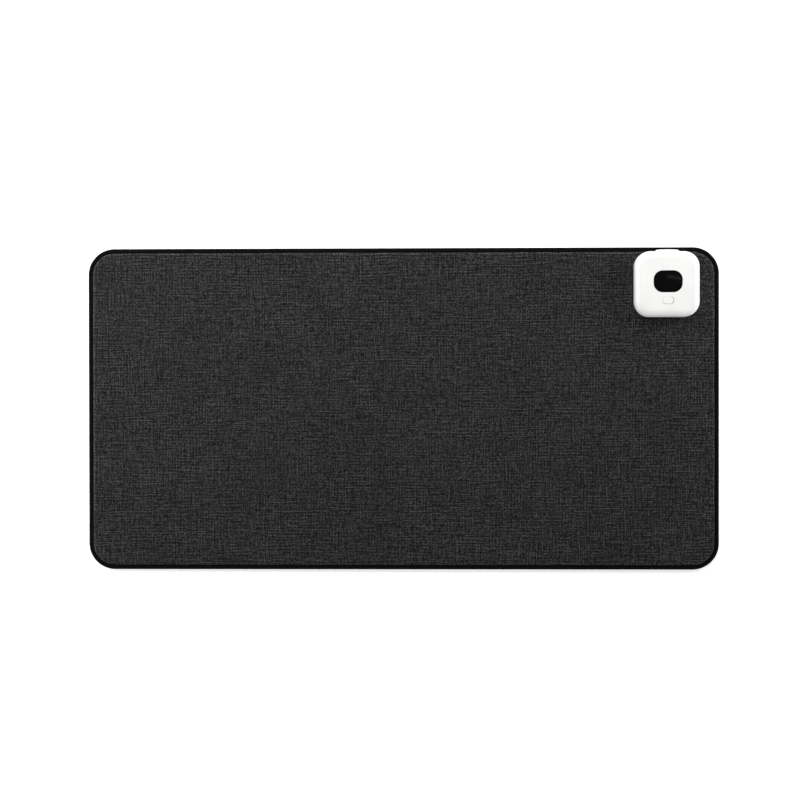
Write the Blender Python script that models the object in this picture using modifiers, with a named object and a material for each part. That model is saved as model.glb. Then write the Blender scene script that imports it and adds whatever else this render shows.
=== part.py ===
"""A heated desk mat: a woven cover over foam, a film heater and an anti-slip base, bound at the
edge, with a white controller clamped through its rear right corner.

Metres, +Z up. The origin is the centre of the underside, +X runs along the long side and +Y
points to the rear, away from the person at the desk.
"""

import math

import bmesh
import bpy
from mathutils import Matrix, Vector

MM = 0.001

# Clearances
LAYER_GAP = 0.2 * MM  # air left between two layers of the mat
FIT_GAP = 0.3 * MM  # air left round a piece that seats in or on another
OVERRUN = 2.0 * MM  # how far a cutter runs past what it cuts
SINK = 0.6 * MM  # how deep a boss is rooted in the wall that carries it

# Facets
CORNER_STEPS = 8
EDGE_STEPS = 5
SMALL_EDGE_STEPS = 3
DRUM_SIDES = 24
LEAD_SIDES = 2
SMOOTH_ANGLE = math.radians(35)

# Mat outline
MAT_LENGTH = 600 * MM
MAT_DEPTH = 306 * MM
MAT_CORNER = 25 * MM

# Mat layers, from the desk up
BASE_THICKNESS = 1.0 * MM
FELT_THICKNESS = 0.8 * MM
FILM_THICKNESS = 0.25 * MM
PRINT_THICKNESS = 0.15 * MM
FOIL_THICKNESS = 0.15 * MM
FOAM_THICKNESS = 1.2 * MM
FABRIC_THICKNESS = 0.6 * MM

# Stitched edge, and how the cover and the base run into it
BINDING_WIDTH = 4.0 * MM
BINDING_WALL = 0.9 * MM
BINDING_ROUND = 0.8 * MM
COVER_SLOPE = 3.0 * MM
BASE_SLOPE = 1.4 * MM
SLOPE_STEPS = 5

# Film heater
FILM_MARGIN = 6.0 * MM
BUSBAR_WIDTH = 6.0 * MM
RUNG_WIDTH = 9.0 * MM
RUNG_GAP = 5.0 * MM
BUSBAR_GAP = 3.0 * MM  # from the printed area to the strip beside it
HEATER_SETBACK = 12.0 * MM  # from the controller's left wall to the printed area
SENSOR_LENGTH = 12.0 * MM
SENSOR_WIDTH = 5.0 * MM
SENSOR_THICKNESS = 0.5 * MM
SENSOR_CORNER = 1.2 * MM
SENSOR_INSET = 14.0 * MM  # how far the sensor lies inside the printed area
SENSOR_BEAD = 1.6 * MM
SENSOR_BEAD_RISE = 0.35 * MM
SENSOR_CHANNEL = 7.0 * MM

# Controller shell
CONTROLLER_WIDTH = 60.6 * MM
CONTROLLER_LENGTH = 61.5 * MM
CONTROLLER_HEIGHT = 15.0 * MM
CONTROLLER_CORNER = 14.5 * MM
CONTROLLER_EDGE = 6.5 * MM
CONTROLLER_SIDE_MARGIN = 20.5 * MM  # from the mat's right edge to the shell
CONTROLLER_REAR_MARGIN = 4.9 * MM  # from the mat's rear edge to the shell
SHELL_WALL = 2.2 * MM
BULGE_WIDTH = 23.4 * MM
BULGE_REACH = 1.7 * MM
BULGE_CROWN = 1.0 * MM
BULGE_HEIGHT = 11.2 * MM
BULGE_EDGE = 0.9 * MM
POST_RADIUS = 3.3 * MM
POST_INSET = 8.7 * MM  # from the shell's outer wall to a post's axis

# Display window and button
WINDOW_WIDTH = 27.0 * MM
WINDOW_DEPTH = 20.4 * MM
WINDOW_CORNER = 8.5 * MM
WINDOW_SHIFT = 2.1 * MM  # towards the rear
WINDOW_LEDGE = 1.5 * MM
LENS_THICKNESS = 1.0 * MM
LENS_RECESS = 0.05 * MM
DISPLAY_WIDTH = 19.0 * MM
DISPLAY_DEPTH = 12.6 * MM
DISPLAY_CORNER = 0.6 * MM
BUTTON_WIDTH = 10.1 * MM
BUTTON_DEPTH = 7.0 * MM
BUTTON_CORNER = 3.3 * MM
BUTTON_SHIFT = 15.6 * MM  # towards the front
BUTTON_RISE = 0.4 * MM
BUTTON_EDGE = 0.35 * MM
BUTTON_FLANGE = 1.2 * MM
BUTTON_FLANGE_THICKNESS = 0.8 * MM
BUTTON_TRAVEL = 0.4 * MM

# Push switch under the button
SWITCH_SIDE = 6.0 * MM
SWITCH_CORNER = 0.5 * MM
SWITCH_STEM_RADIUS = 1.7 * MM
SWITCH_STEM_RISE = 0.95 * MM
SWITCH_STEM_SEAT = 1.0 * MM

# Circuit board and what is soldered to it
FLOOR_THICKNESS = 1.5 * MM
BOARD_CLEARANCE = 3.4 * MM
BOARD_THICKNESS = 1.6 * MM
BOARD_SIDE_MARGIN = 13.0 * MM  # from the shell's side wall to the board
BOARD_END_MARGIN = 6.5 * MM  # the same at the front and rear, before the board is shifted
BOARD_WIDTH = CONTROLLER_WIDTH - 2 * BOARD_SIDE_MARGIN
BOARD_LENGTH = CONTROLLER_LENGTH - 2 * BOARD_END_MARGIN
BOARD_CORNER = 1.5 * MM
BOARD_SHIFT = 2.0 * MM  # towards the front
BOARD_BOSS_RADIUS = 2.5 * MM
BOARD_BOSS_INSET = 3.5 * MM
CHIP_LENGTH = 9.9 * MM
CHIP_WIDTH = 3.9 * MM
CHIP_HEIGHT = 1.5 * MM
CHIP_LEADS = 8
CHIP_LEAD_PITCH = 1.1 * MM
CHIP_LEAD_WIDTH = 0.45 * MM
CHIP_LEAD_REACH = 1.0 * MM
CHIP_LEAD_THICKNESS = 0.25 * MM
TRANSISTOR_WIDTH = 6.6 * MM
TRANSISTOR_LENGTH = 6.2 * MM
TRANSISTOR_HEIGHT = 2.3 * MM
TRANSISTOR_TAB = 1.6 * MM
TRANSISTOR_TAB_THICKNESS = 0.5 * MM
REGULATOR_WIDTH = 2.5 * MM
REGULATOR_LENGTH = 4.5 * MM
REGULATOR_HEIGHT = 1.5 * MM
CAPACITOR_RADIUS = 2.5 * MM
CAPACITOR_HEIGHT = 5.0 * MM
CAPACITOR_FOOT = 0.8 * MM
CAPACITOR_GROOVE = 0.3 * MM
CHIP_BOSS_GAP = 1.05 * MM  # from the front bosses to the microcontroller
BOARD_PARTS_GAP = 0.8 * MM  # from the display and the socket to what is soldered beside them

# Low-voltage power socket in the rear wall
JACK_HEIGHT = 8.0 * MM
JACK_WIDTH = 9.0 * MM
JACK_LENGTH = 13.5 * MM
JACK_NOSE_RADIUS = 3.7 * MM
JACK_BORE_RADIUS = 3.15 * MM
JACK_BORE_DEPTH = 11.0 * MM
JACK_PIN_RADIUS = 1.0 * MM
JACK_PIN_SETBACK = 1.6 * MM
JACK_REAR_WALL_GAP = 0.4 * MM  # from the socket's box to the shell's rear wall
JACK_CONTACT_WIDTH = 2.4 * MM
JACK_CONTACT_THICKNESS = 0.3 * MM
JACK_CONTACT_RISE = 0.6 * MM
JACK_CONTACT_BOW_SHARES = ((0, 0), (0.35, 0.8), (0.55, 1), (0.75, 0.8), (1, 0.2))

# Clamp under the mat, and the screws
PLATE_MARGIN = 3.0 * MM  # from the shell's wall to the plate's edge, seen from above
PLATE_WIDTH = CONTROLLER_WIDTH - 2 * PLATE_MARGIN
PLATE_LENGTH = CONTROLLER_LENGTH - 2 * PLATE_MARGIN
PLATE_CORNER = CONTROLLER_CORNER - PLATE_MARGIN
PLATE_RECESS = 0.3 * MM
SCREW_SHANK_RADIUS = 1.5 * MM
SCREW_HEAD_RADIUS = 2.75 * MM
SCREW_HEAD_RIM = 0.2 * MM
SCREW_GRIP = 9.0 * MM  # length of screw held in a post
SCREW_TIP = 1.5 * MM
SCREW_SLOT_WIDTH = 0.6 * MM
SCREW_SLOT_DEPTH = 0.6 * MM
BOARD_SCREW_RADIUS = 1.0 * MM
BOARD_SCREW_HEAD_RADIUS = 1.9 * MM
BOARD_SCREW_HEAD_HEIGHT = 1.2 * MM
BOARD_SCREW_GRIP = 4.0 * MM

# Leads from the film up to the board
WIRE_SLOT_LENGTH = 26.0 * MM
WIRE_SLOT_WIDTH = 12.0 * MM
WIRE_SLOT_CORNER = 3.0 * MM
WIRE_SLOT_SHIFT = 8.0 * MM  # towards the front
LUG_SPREAD = 7.5 * MM
LUG_RADIUS = 3.0 * MM
LUG_THICKNESS = 0.5 * MM
LUG_BARREL_RADIUS = 1.2 * MM
LUG_BARREL_HEIGHT = 1.6 * MM
HEATER_LEAD_RADIUS = 0.8 * MM
HEATER_LEAD_SWAY = 1.5 * MM
SENSOR_LEAD_RADIUS = 0.35 * MM
SENSOR_LEAD_SHIFT = 4.2 * MM  # from the wire slot's middle, towards the rear
SENSOR_LEAD_BEND = 2.0 * MM

# Where small things stand on the board, as shares of its half width and half length
CHIP_SIDE_SHARE = 0.644
TRANSISTOR_PLACE_SHARES = (-0.64, -0.42)

# Levels, from the desk up
Z_FELT = BASE_THICKNESS + LAYER_GAP
Z_CARRIER = Z_FELT + FELT_THICKNESS + LAYER_GAP
Z_PRINT = Z_CARRIER + FILM_THICKNESS + LAYER_GAP
Z_FOIL = Z_PRINT + PRINT_THICKNESS + LAYER_GAP
Z_TOP_FILM = Z_FOIL + FOIL_THICKNESS + LAYER_GAP
Z_FOAM = Z_TOP_FILM + FILM_THICKNESS + LAYER_GAP
Z_FABRIC = Z_FOAM + FOAM_THICKNESS + LAYER_GAP
Z_MAT_TOP = Z_FABRIC + FABRIC_THICKNESS
Z_BASE_RIM = BINDING_WALL + FIT_GAP
Z_FABRIC_RIM = Z_BASE_RIM + BASE_THICKNESS + LAYER_GAP
BINDING_HEIGHT = Z_FABRIC_RIM + FABRIC_THICKNESS + FIT_GAP + BINDING_WALL
Z_SHELL = Z_MAT_TOP + LAYER_GAP
Z_SHELL_TOP = Z_SHELL + CONTROLLER_HEIGHT
Z_CEILING = Z_SHELL_TOP - SHELL_WALL
Z_FLOOR_TOP = Z_SHELL + FLOOR_THICKNESS
Z_BOARD = Z_FLOOR_TOP + BOARD_CLEARANCE
Z_BOARD_TOP = Z_BOARD + BOARD_THICKNESS
Z_ON_BOARD = Z_BOARD_TOP + FIT_GAP
Z_LENS = Z_SHELL_TOP - LENS_RECESS - LENS_THICKNESS
Z_LEDGE = Z_LENS - FIT_GAP
Z_FLANGE_TOP = Z_CEILING - FIT_GAP
Z_FLANGE = Z_FLANGE_TOP - BUTTON_FLANGE_THICKNESS
Z_STEM_TOP = Z_FLANGE - FIT_GAP
Z_SWITCH_TOP = Z_STEM_TOP - SWITCH_STEM_RISE
Z_JACK = Z_FLOOR_TOP + FIT_GAP
Z_JACK_AXIS = Z_JACK + JACK_HEIGHT / 2
Z_LUG = Z_FOIL + FOIL_THICKNESS + LAYER_GAP
Z_LUG_TOP = Z_LUG + LUG_THICKNESS + LUG_BARREL_HEIGHT

# Places in plan
CONTROLLER_X = MAT_LENGTH / 2 - CONTROLLER_SIDE_MARGIN - CONTROLLER_WIDTH / 2
CONTROLLER_Y = MAT_DEPTH / 2 - CONTROLLER_REAR_MARGIN - CONTROLLER_LENGTH / 2
REAR_WALL_Y = CONTROLLER_Y + CONTROLLER_LENGTH / 2
WINDOW_Y = CONTROLLER_Y + WINDOW_SHIFT
BUTTON_Y = CONTROLLER_Y - BUTTON_SHIFT
BOARD_Y = CONTROLLER_Y - BOARD_SHIFT
SLOT_Y = CONTROLLER_Y - WIRE_SLOT_SHIFT
POST_X = CONTROLLER_WIDTH / 2 - POST_INSET
POST_Y = CONTROLLER_LENGTH / 2 - POST_INSET
BOSS_X = BOARD_WIDTH / 2 - BOARD_BOSS_INSET
BOSS_Y = BOARD_LENGTH / 2 - BOARD_BOSS_INSET
CHIP_Y = BOARD_Y - BOSS_Y + BOARD_BOSS_RADIUS + CHIP_BOSS_GAP + CHIP_LENGTH / 2
BESIDE_SOCKET = JACK_WIDTH / 2 + FIT_GAP + BOARD_PARTS_GAP
BEHIND_DISPLAY = WINDOW_Y + DISPLAY_DEPTH / 2 + BOARD_PARTS_GAP
JACK_BOX_REAR = REAR_WALL_Y - SHELL_WALL - JACK_REAR_WALL_GAP
JACK_BOX_FRONT = JACK_BOX_REAR - JACK_LENGTH
JACK_NOSE_Y = REAR_WALL_Y + BULGE_REACH - LAYER_GAP
CORE_INSET = BINDING_WIDTH + FIT_GAP + COVER_SLOPE + FIT_GAP
CORE_LENGTH = MAT_LENGTH - 2 * CORE_INSET
CORE_DEPTH = MAT_DEPTH - 2 * CORE_INSET
CORE_CORNER = MAT_CORNER - CORE_INSET
HEATER_LEFT = -CORE_LENGTH / 2 + FILM_MARGIN
HEATER_RIGHT = CONTROLLER_X - CONTROLLER_WIDTH / 2 - HEATER_SETBACK
HEATER_REAR = CORE_DEPTH / 2 - FILM_MARGIN
SENSOR_X = HEATER_RIGHT - SENSOR_INSET
SENSOR_Y = SLOT_Y + SENSOR_LEAD_SHIFT

CORNER_SIGNS = (
    ("front_left", -1, -1),
    ("front_right", 1, -1),
    ("rear_left", -1, 1),
    ("rear_right", 1, 1),
)


# Making and placing meshes


def clear_scene():
    """Empty the scene, and make the collections for the mat and for its cutters."""
    for item in list(bpy.data.objects):
        bpy.data.objects.remove(item)
    made = []
    for name in ("heated_desk_mat", "cutters"):
        collection = bpy.data.collections.new(name)
        bpy.context.scene.collection.children.link(collection)
        made.append(collection)
    return made


PARTS, CUTTERS = clear_scene()


def finish(name, colour, roughness, metallic=0.0):
    """A plain surface finish."""
    made = bpy.data.materials.new(name)
    made.use_nodes = True
    shader = made.node_tree.nodes["Principled BSDF"]
    shader.inputs["Base Color"].default_value = (*colour, 1.0)
    shader.inputs["Roughness"].default_value = roughness
    shader.inputs["Metallic"].default_value = metallic
    made.diffuse_color = (*colour, 1.0)
    return made


LINEN = finish("linen_look_cloth", (0.028, 0.028, 0.030), 0.9)
THREAD = finish("black_edge_thread", (0.006, 0.006, 0.006), 0.75)
RUBBER = finish("black_rubber", (0.012, 0.012, 0.012), 0.85)
FOAM = finish("grey_foam", (0.25, 0.25, 0.26), 0.95)
FELT = finish("foil_faced_felt", (0.55, 0.55, 0.57), 0.55)
FILM = finish("clear_amber_film", (0.45, 0.28, 0.08), 0.3)
CARBON = finish("carbon_print", (0.015, 0.015, 0.017), 0.6)
COPPER = finish("copper_foil", (0.72, 0.36, 0.22), 0.3, 1.0)
TIN = finish("tinned_brass", (0.62, 0.60, 0.55), 0.35, 1.0)
STEEL = finish("zinc_plated_steel", (0.55, 0.56, 0.58), 0.35, 1.0)
WHITE = finish("white_abs", (0.86, 0.86, 0.85), 0.45)
SMOKED = finish("smoked_acrylic", (0.006, 0.006, 0.006), 0.06)
BLACK = finish("black_nylon", (0.014, 0.014, 0.014), 0.5)
LAMINATE = finish("green_laminate", (0.02, 0.16, 0.06), 0.4)
EPOXY = finish("black_epoxy", (0.02, 0.02, 0.021), 0.5)
CAN = finish("aluminium_can", (0.75, 0.76, 0.78), 0.3, 1.0)
RED_SLEEVE = finish("red_silicone", (0.45, 0.02, 0.02), 0.5)
BLACK_SLEEVE = finish("black_silicone", (0.015, 0.015, 0.015), 0.5)


def object_from(shape, name, surface):
    """The node of that name, from a bmesh that is then freed."""
    mesh = bpy.data.meshes.new(name)
    shape.to_mesh(mesh)
    shape.free()
    mesh.shade_smooth()
    mesh.set_sharp_from_angle(angle=SMOOTH_ANGLE)
    mesh.materials.append(surface)
    made = bpy.data.objects.new(name, mesh)
    PARTS.objects.link(made)
    return made


def tool_from(shape, name):
    """A hidden shape that a Boolean reads."""
    mesh = bpy.data.meshes.new(name)
    shape.to_mesh(mesh)
    shape.free()
    made = bpy.data.objects.new(name, mesh)
    made.hide_render = True
    made.display_type = "WIRE"
    CUTTERS.objects.link(made)
    return made


def combine(target, tool, operation):
    """Cut the tool from the target, or join it to the target."""
    boolean = target.modifiers.new(tool.name, "BOOLEAN")
    boolean.operation = operation
    boolean.solver = "EXACT"
    boolean.object = tool


def cut(target, shape, name):
    """Take a bmesh out of the target."""
    combine(target, tool_from(shape, name), "DIFFERENCE")


def weld_on(target, shape, name):
    """Make a bmesh one with the target."""
    combine(target, tool_from(shape, name), "UNION")


def is_upright(edge):
    """Whether an edge runs along Z."""
    run = edge.verts[1].co - edge.verts[0].co
    return abs(run.z) > abs(run.x) + abs(run.y)


def round_edges(shape, edges, radius, steps):
    """Round the given edges."""
    bmesh.ops.bevel(
        shape,
        geom=list(edges),
        offset=radius,
        offset_type="OFFSET",
        segments=steps,
        profile=0.5,
        affect="EDGES",
    )


def top_face(shape):
    """The highest flat face."""
    return max(shape.faces, key=lambda face: face.calc_center_median().z)


def add_block(shape, width, length, low, high, centre=(0, 0), corner=0, steps=CORNER_STEPS):
    """A box from one level to another, with its upright edges rounded where a corner is given."""
    size = Matrix.Diagonal((width, length, high - low, 1))
    place = Matrix.Translation((*centre, (low + high) / 2))
    made = bmesh.ops.create_cube(shape, size=1, matrix=place @ size)["verts"]
    if corner:
        upright = {edge for vertex in made for edge in vertex.link_edges if is_upright(edge)}
        round_edges(shape, upright, corner, steps)


def add_drum(shape, radius, low, high, centre=(0, 0), top_radius=None, sides=DRUM_SIDES):
    """An upright cylinder, or a cone where its top has a radius of its own."""
    bmesh.ops.create_cone(
        shape,
        cap_ends=True,
        segments=sides,
        radius1=radius,
        radius2=radius if top_radius is None else top_radius,
        depth=high - low,
        matrix=Matrix.Translation((*centre, (low + high) / 2)),
    )


def add_rod(shape, radius, front, rear, x, z, sides=DRUM_SIDES):
    """A cylinder that lies along Y."""
    bmesh.ops.create_cone(
        shape,
        cap_ends=True,
        segments=sides,
        radius1=radius,
        radius2=radius,
        depth=rear - front,
        matrix=Matrix.Translation((x, (front + rear) / 2, z)) @ Matrix.Rotation(math.pi / 2, 4, "X"),
    )


def plate(name, surface, width, length, low, thickness, centre=(0, 0), corner=0):
    """A flat piece with rounded corners."""
    shape = bmesh.new()
    add_block(shape, width, length, low, low + thickness, centre, corner)
    return object_from(shape, name, surface)


def extruded(name, surface, outlines, low, thickness):
    """A flat piece from closed outlines of (x, y) points, the later ones being holes."""
    curve = bpy.data.curves.new(name, "CURVE")
    curve.dimensions = "2D"
    curve.fill_mode = "BOTH"
    curve.extrude = thickness / 2
    for outline in outlines:
        spline = curve.splines.new("POLY")
        spline.points.add(len(outline) - 1)
        spline.use_cyclic_u = True
        for point, (x, y) in zip(spline.points, outline):
            point.co = (x, y, 0, 1)
    drawn = bpy.data.objects.new(name + "_outline", curve)
    PARTS.objects.link(drawn)
    drawn.location = (0, 0, low + thickness / 2)
    bpy.context.view_layer.update()
    shape = bmesh.new()
    evaluated = drawn.evaluated_get(bpy.context.evaluated_depsgraph_get())
    shape.from_mesh(bpy.data.meshes.new_from_object(evaluated))
    shape.transform(drawn.matrix_world)
    bmesh.ops.remove_doubles(shape, verts=shape.verts, dist=MM / 1000)
    bpy.data.objects.remove(drawn)
    return object_from(shape, name, surface)


def turned(name, surface, profile, place):
    """A turned piece. The profile's (radius, height) points run down its outer side."""
    shape = bmesh.new()
    points = [shape.verts.new((radius, 0, height)) for radius, height in profile]
    for upper, lower in zip(points, points[1:]):
        shape.edges.new((upper, lower))
    made = object_from(shape, name, surface)
    made.location = place
    spin = made.modifiers.new("spin", "SCREW")
    spin.steps = spin.render_steps = DRUM_SIDES
    spin.use_merge_vertices = True
    spin.merge_threshold = MM / 1000
    spin.use_smooth_shade = True
    return made


def smooth_route(points, steps):
    """Points on one smooth curve through the given ones."""
    ends = [2 * points[0] - points[1], *points, 2 * points[-1] - points[-2]]
    route = []
    for before, start, end, after in zip(ends, ends[1:], ends[2:], ends[3:]):
        for step in range(steps):
            t = step / steps
            blend = start * 2 + (end - before) * t
            blend += (before * 2 - start * 5 + end * 4 - after) * t**2
            blend += (start * 3 - before - end * 3 + after) * t**3
            route.append(blend / 2)
    return [*route, points[-1]]


def lead(name, surface, points, radius):
    """A wire along a smooth route."""
    curve = bpy.data.curves.new(name, "CURVE")
    curve.dimensions = "3D"
    curve.bevel_depth = radius
    curve.bevel_resolution = LEAD_SIDES
    curve.use_fill_caps = True
    curve.materials.append(surface)
    route = smooth_route([Vector(point) for point in points], EDGE_STEPS)
    spline = curve.splines.new("POLY")
    spline.points.add(len(route) - 1)
    for point, place in zip(spline.points, route):
        point.co = (*place, 1)
    made = bpy.data.objects.new(name, curve)
    PARTS.objects.link(made)
    return made


# Layers of the mat


def slope_shares(steps):
    """How far along and how far up each step of a smooth slope ends, as shares."""
    ends = [step / steps for step in range(steps + 1)]
    heights = [(1 - math.cos(math.pi * end)) / 2 for end in ends]
    return list(zip(ends[1:], (high - low for low, high in zip(heights, heights[1:]))))


def sheet_skin(rim_inset, rim_width, slope, rise, level):
    """An open skin: a flat rim, a smooth slope, and the flat field that it leads to."""
    shape = bmesh.new()
    width = MAT_LENGTH - 2 * rim_inset
    length = MAT_DEPTH - 2 * rim_inset
    add_block(shape, width, length, level - OVERRUN, level, corner=MAT_CORNER - rim_inset)
    field = top_face(shape)
    bmesh.ops.delete(shape, geom=[face for face in shape.faces if face is not field], context="FACES")
    field = shape.faces[:][0]
    bmesh.ops.inset_region(
        shape, faces=[field], thickness=rim_width, use_boundary=True, use_even_offset=True
    )
    for _, climb in slope_shares(SLOPE_STEPS):
        bmesh.ops.inset_region(
            shape, faces=[field], thickness=slope / SLOPE_STEPS, depth=climb * rise, use_even_offset=True
        )
    return shape


def split_field(skin, x):
    """Part the field at x, so that the heated side is flat faces of its own, clear of the controller."""
    everything = skin.verts[:] + skin.edges[:] + skin.faces[:]
    bmesh.ops.bisect_plane(skin, geom=everything, plane_co=(x, 0, 0), plane_no=(1, 0, 0))


def give_thickness(skin, thickness, upwards):
    """Turn an open skin into a sheet."""
    solid = skin.modifiers.new("thickness", "SOLIDIFY")
    solid.thickness = thickness
    solid.offset = 1 if upwards else -1
    solid.use_even_offset = True


def screw_holes(low, high, radius):
    """Drums where the four clamp screws pass."""
    shape = bmesh.new()
    for _, side, end in CORNER_SIGNS:
        centre = (CONTROLLER_X + side * POST_X, CONTROLLER_Y + end * POST_Y)
        add_drum(shape, radius, low - OVERRUN, high + OVERRUN, centre)
    return shape


def add_wire_slot(shape, low, high):
    """The slot through which the leads rise from the film to the board."""
    add_block(
        shape,
        WIRE_SLOT_LENGTH,
        WIRE_SLOT_WIDTH,
        low - OVERRUN,
        high + OVERRUN,
        (CONTROLLER_X, SLOT_Y),
        WIRE_SLOT_CORNER,
    )


def pierced(layer, low, high):
    """Open a layer for the clamp screws and the leads."""
    shape = screw_holes(low, high, SCREW_SHANK_RADIUS + FIT_GAP)
    add_wire_slot(shape, low, high)
    cut(layer, shape, layer.name + "_holes")


def plate_window():
    """The window that the clamp plate fills."""
    shape = bmesh.new()
    add_block(
        shape,
        PLATE_WIDTH + 2 * FIT_GAP,
        PLATE_LENGTH + 2 * FIT_GAP,
        -OVERRUN,
        Z_CARRIER,
        (CONTROLLER_X, CONTROLLER_Y),
        PLATE_CORNER + FIT_GAP,
    )
    return shape


def core_layer(name, surface, low, thickness):
    """A layer that lies inside the cover's slope."""
    return plate(name, surface, CORE_LENGTH, CORE_DEPTH, low, thickness, corner=CORE_CORNER)


def make_fabric_cover():
    """The woven cover. Its edge slopes down into the stitched binding."""
    rim_inset = BINDING_WALL + FIT_GAP
    rim_width = BINDING_WIDTH + FIT_GAP - rim_inset
    level = Z_FABRIC_RIM + FABRIC_THICKNESS
    skin = sheet_skin(rim_inset, rim_width, COVER_SLOPE, Z_MAT_TOP - level, level)
    split_field(skin, HEATER_RIGHT)
    cover = object_from(skin, "fabric_cover", LINEN)
    give_thickness(cover, FABRIC_THICKNESS, upwards=False)
    pierced(cover, Z_FABRIC, Z_MAT_TOP)


def make_foam_pad():
    """The foam under the cover, with a channel for the sensor and its lead."""
    foam = core_layer("foam_pad", FOAM, Z_FOAM, FOAM_THICKNESS)
    pierced(foam, Z_FOAM, Z_FABRIC)
    start = SENSOR_X - SENSOR_LENGTH / 2 - FIT_GAP
    end = CONTROLLER_X - LUG_SPREAD
    middle = ((start + end) / 2, SENSOR_Y)
    channel = bmesh.new()
    add_block(channel, end - start, SENSOR_CHANNEL, Z_FOAM - OVERRUN, Z_FABRIC + OVERRUN, middle)
    cut(foam, channel, "sensor_channel")


def make_anti_slip_base():
    """The rubber underside. Its rim steps up into the stitched binding."""
    rim_inset = BINDING_WALL + FIT_GAP
    rim_width = BINDING_WIDTH + FIT_GAP - rim_inset
    skin = sheet_skin(rim_inset, rim_width, BASE_SLOPE, -Z_BASE_RIM, Z_BASE_RIM)
    base = object_from(skin, "anti_slip_base", RUBBER)
    give_thickness(base, BASE_THICKNESS, upwards=True)
    cut(base, plate_window(), "base_window")


def make_felt():
    """The foil-faced felt that keeps the heat off the desk."""
    felt = core_layer("reflective_felt", FELT, Z_FELT, FELT_THICKNESS)
    cut(felt, plate_window(), "felt_window")


def make_edge_binding():
    """The dense black stitching round the mat, as one band that folds over its edge."""
    shape = bmesh.new()
    add_block(shape, MAT_LENGTH, MAT_DEPTH, 0, BINDING_HEIGHT, corner=MAT_CORNER)
    rims = [edge for edge in shape.edges if not is_upright(edge)]
    round_edges(shape, rims, BINDING_ROUND, EDGE_STEPS)
    binding = object_from(shape, "edge_binding", THREAD)
    field = bmesh.new()
    add_block(
        field,
        MAT_LENGTH - 2 * BINDING_WIDTH,
        MAT_DEPTH - 2 * BINDING_WIDTH,
        -OVERRUN,
        BINDING_HEIGHT + OVERRUN,
        corner=MAT_CORNER - BINDING_WIDTH,
    )
    cut(binding, field, "binding_field")
    fold = bmesh.new()
    add_block(
        fold,
        MAT_LENGTH - 2 * BINDING_WALL,
        MAT_DEPTH - 2 * BINDING_WALL,
        BINDING_WALL,
        BINDING_HEIGHT - BINDING_WALL,
        corner=MAT_CORNER - BINDING_WALL,
    )
    cut(binding, fold, "binding_fold")


# Film heater


def rectangle(left, right, front, rear):
    """The outline of a rectangle."""
    return [(left, front), (right, front), (right, rear), (left, rear)]


def strip(route, width):
    """The outline of a strip that follows a route of straight runs along X and Y."""
    sides = []
    for way in (1, -1):
        points = []
        for index, (x, y) in enumerate(route):
            before = route[max(index - 1, 0)]
            after = route[min(index + 1, len(route) - 1)]
            shift_x = shift_y = 0
            for (x0, y0), (x1, y1) in ((before, (x, y)), ((x, y), after)):
                if x0 != x1:
                    shift_y = math.copysign(width / 2, x1 - x0) * way
                if y0 != y1:
                    shift_x = -math.copysign(width / 2, y1 - y0) * way
            points.append((x + shift_x, y + shift_y))
        sides.append(points)
    return sides[0] + sides[1][::-1]


def make_carbon_grid():
    """The printed heater: rungs of carbon between two rails."""
    rail = HEATER_REAR - BUSBAR_WIDTH
    rungs = int((HEATER_RIGHT - HEATER_LEFT - RUNG_WIDTH) / (RUNG_WIDTH + RUNG_GAP))
    pitch = (HEATER_RIGHT - HEATER_LEFT - RUNG_WIDTH) / rungs
    outlines = [rectangle(HEATER_LEFT, HEATER_RIGHT, -HEATER_REAR, HEATER_REAR)]
    for index in range(rungs):
        left = HEATER_LEFT + RUNG_WIDTH + index * pitch
        outlines.append(rectangle(left, left + pitch - RUNG_WIDTH, -rail, rail))
    extruded("carbon_grid", CARBON, outlines, Z_PRINT, PRINT_THICKNESS)


def make_busbars():
    """The two copper strips that feed the rails and end under the controller."""
    middle = HEATER_REAR - BUSBAR_WIDTH / 2
    turn = HEATER_RIGHT + BUSBAR_GAP + BUSBAR_WIDTH / 2
    side = CORE_LENGTH / 2 - FILM_MARGIN - BUSBAR_WIDTH / 2
    reach = LUG_SPREAD - LUG_RADIUS
    rear = [(HEATER_LEFT, middle), (turn, middle), (turn, SLOT_Y), (CONTROLLER_X - reach, SLOT_Y)]
    front = [(HEATER_LEFT, -middle), (side, -middle), (side, SLOT_Y), (CONTROLLER_X + reach, SLOT_Y)]
    extruded("busbar_rear", COPPER, [strip(rear, BUSBAR_WIDTH)], Z_FOIL, FOIL_THICKNESS)
    extruded("busbar_front", COPPER, [strip(front, BUSBAR_WIDTH)], Z_FOIL, FOIL_THICKNESS)


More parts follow.
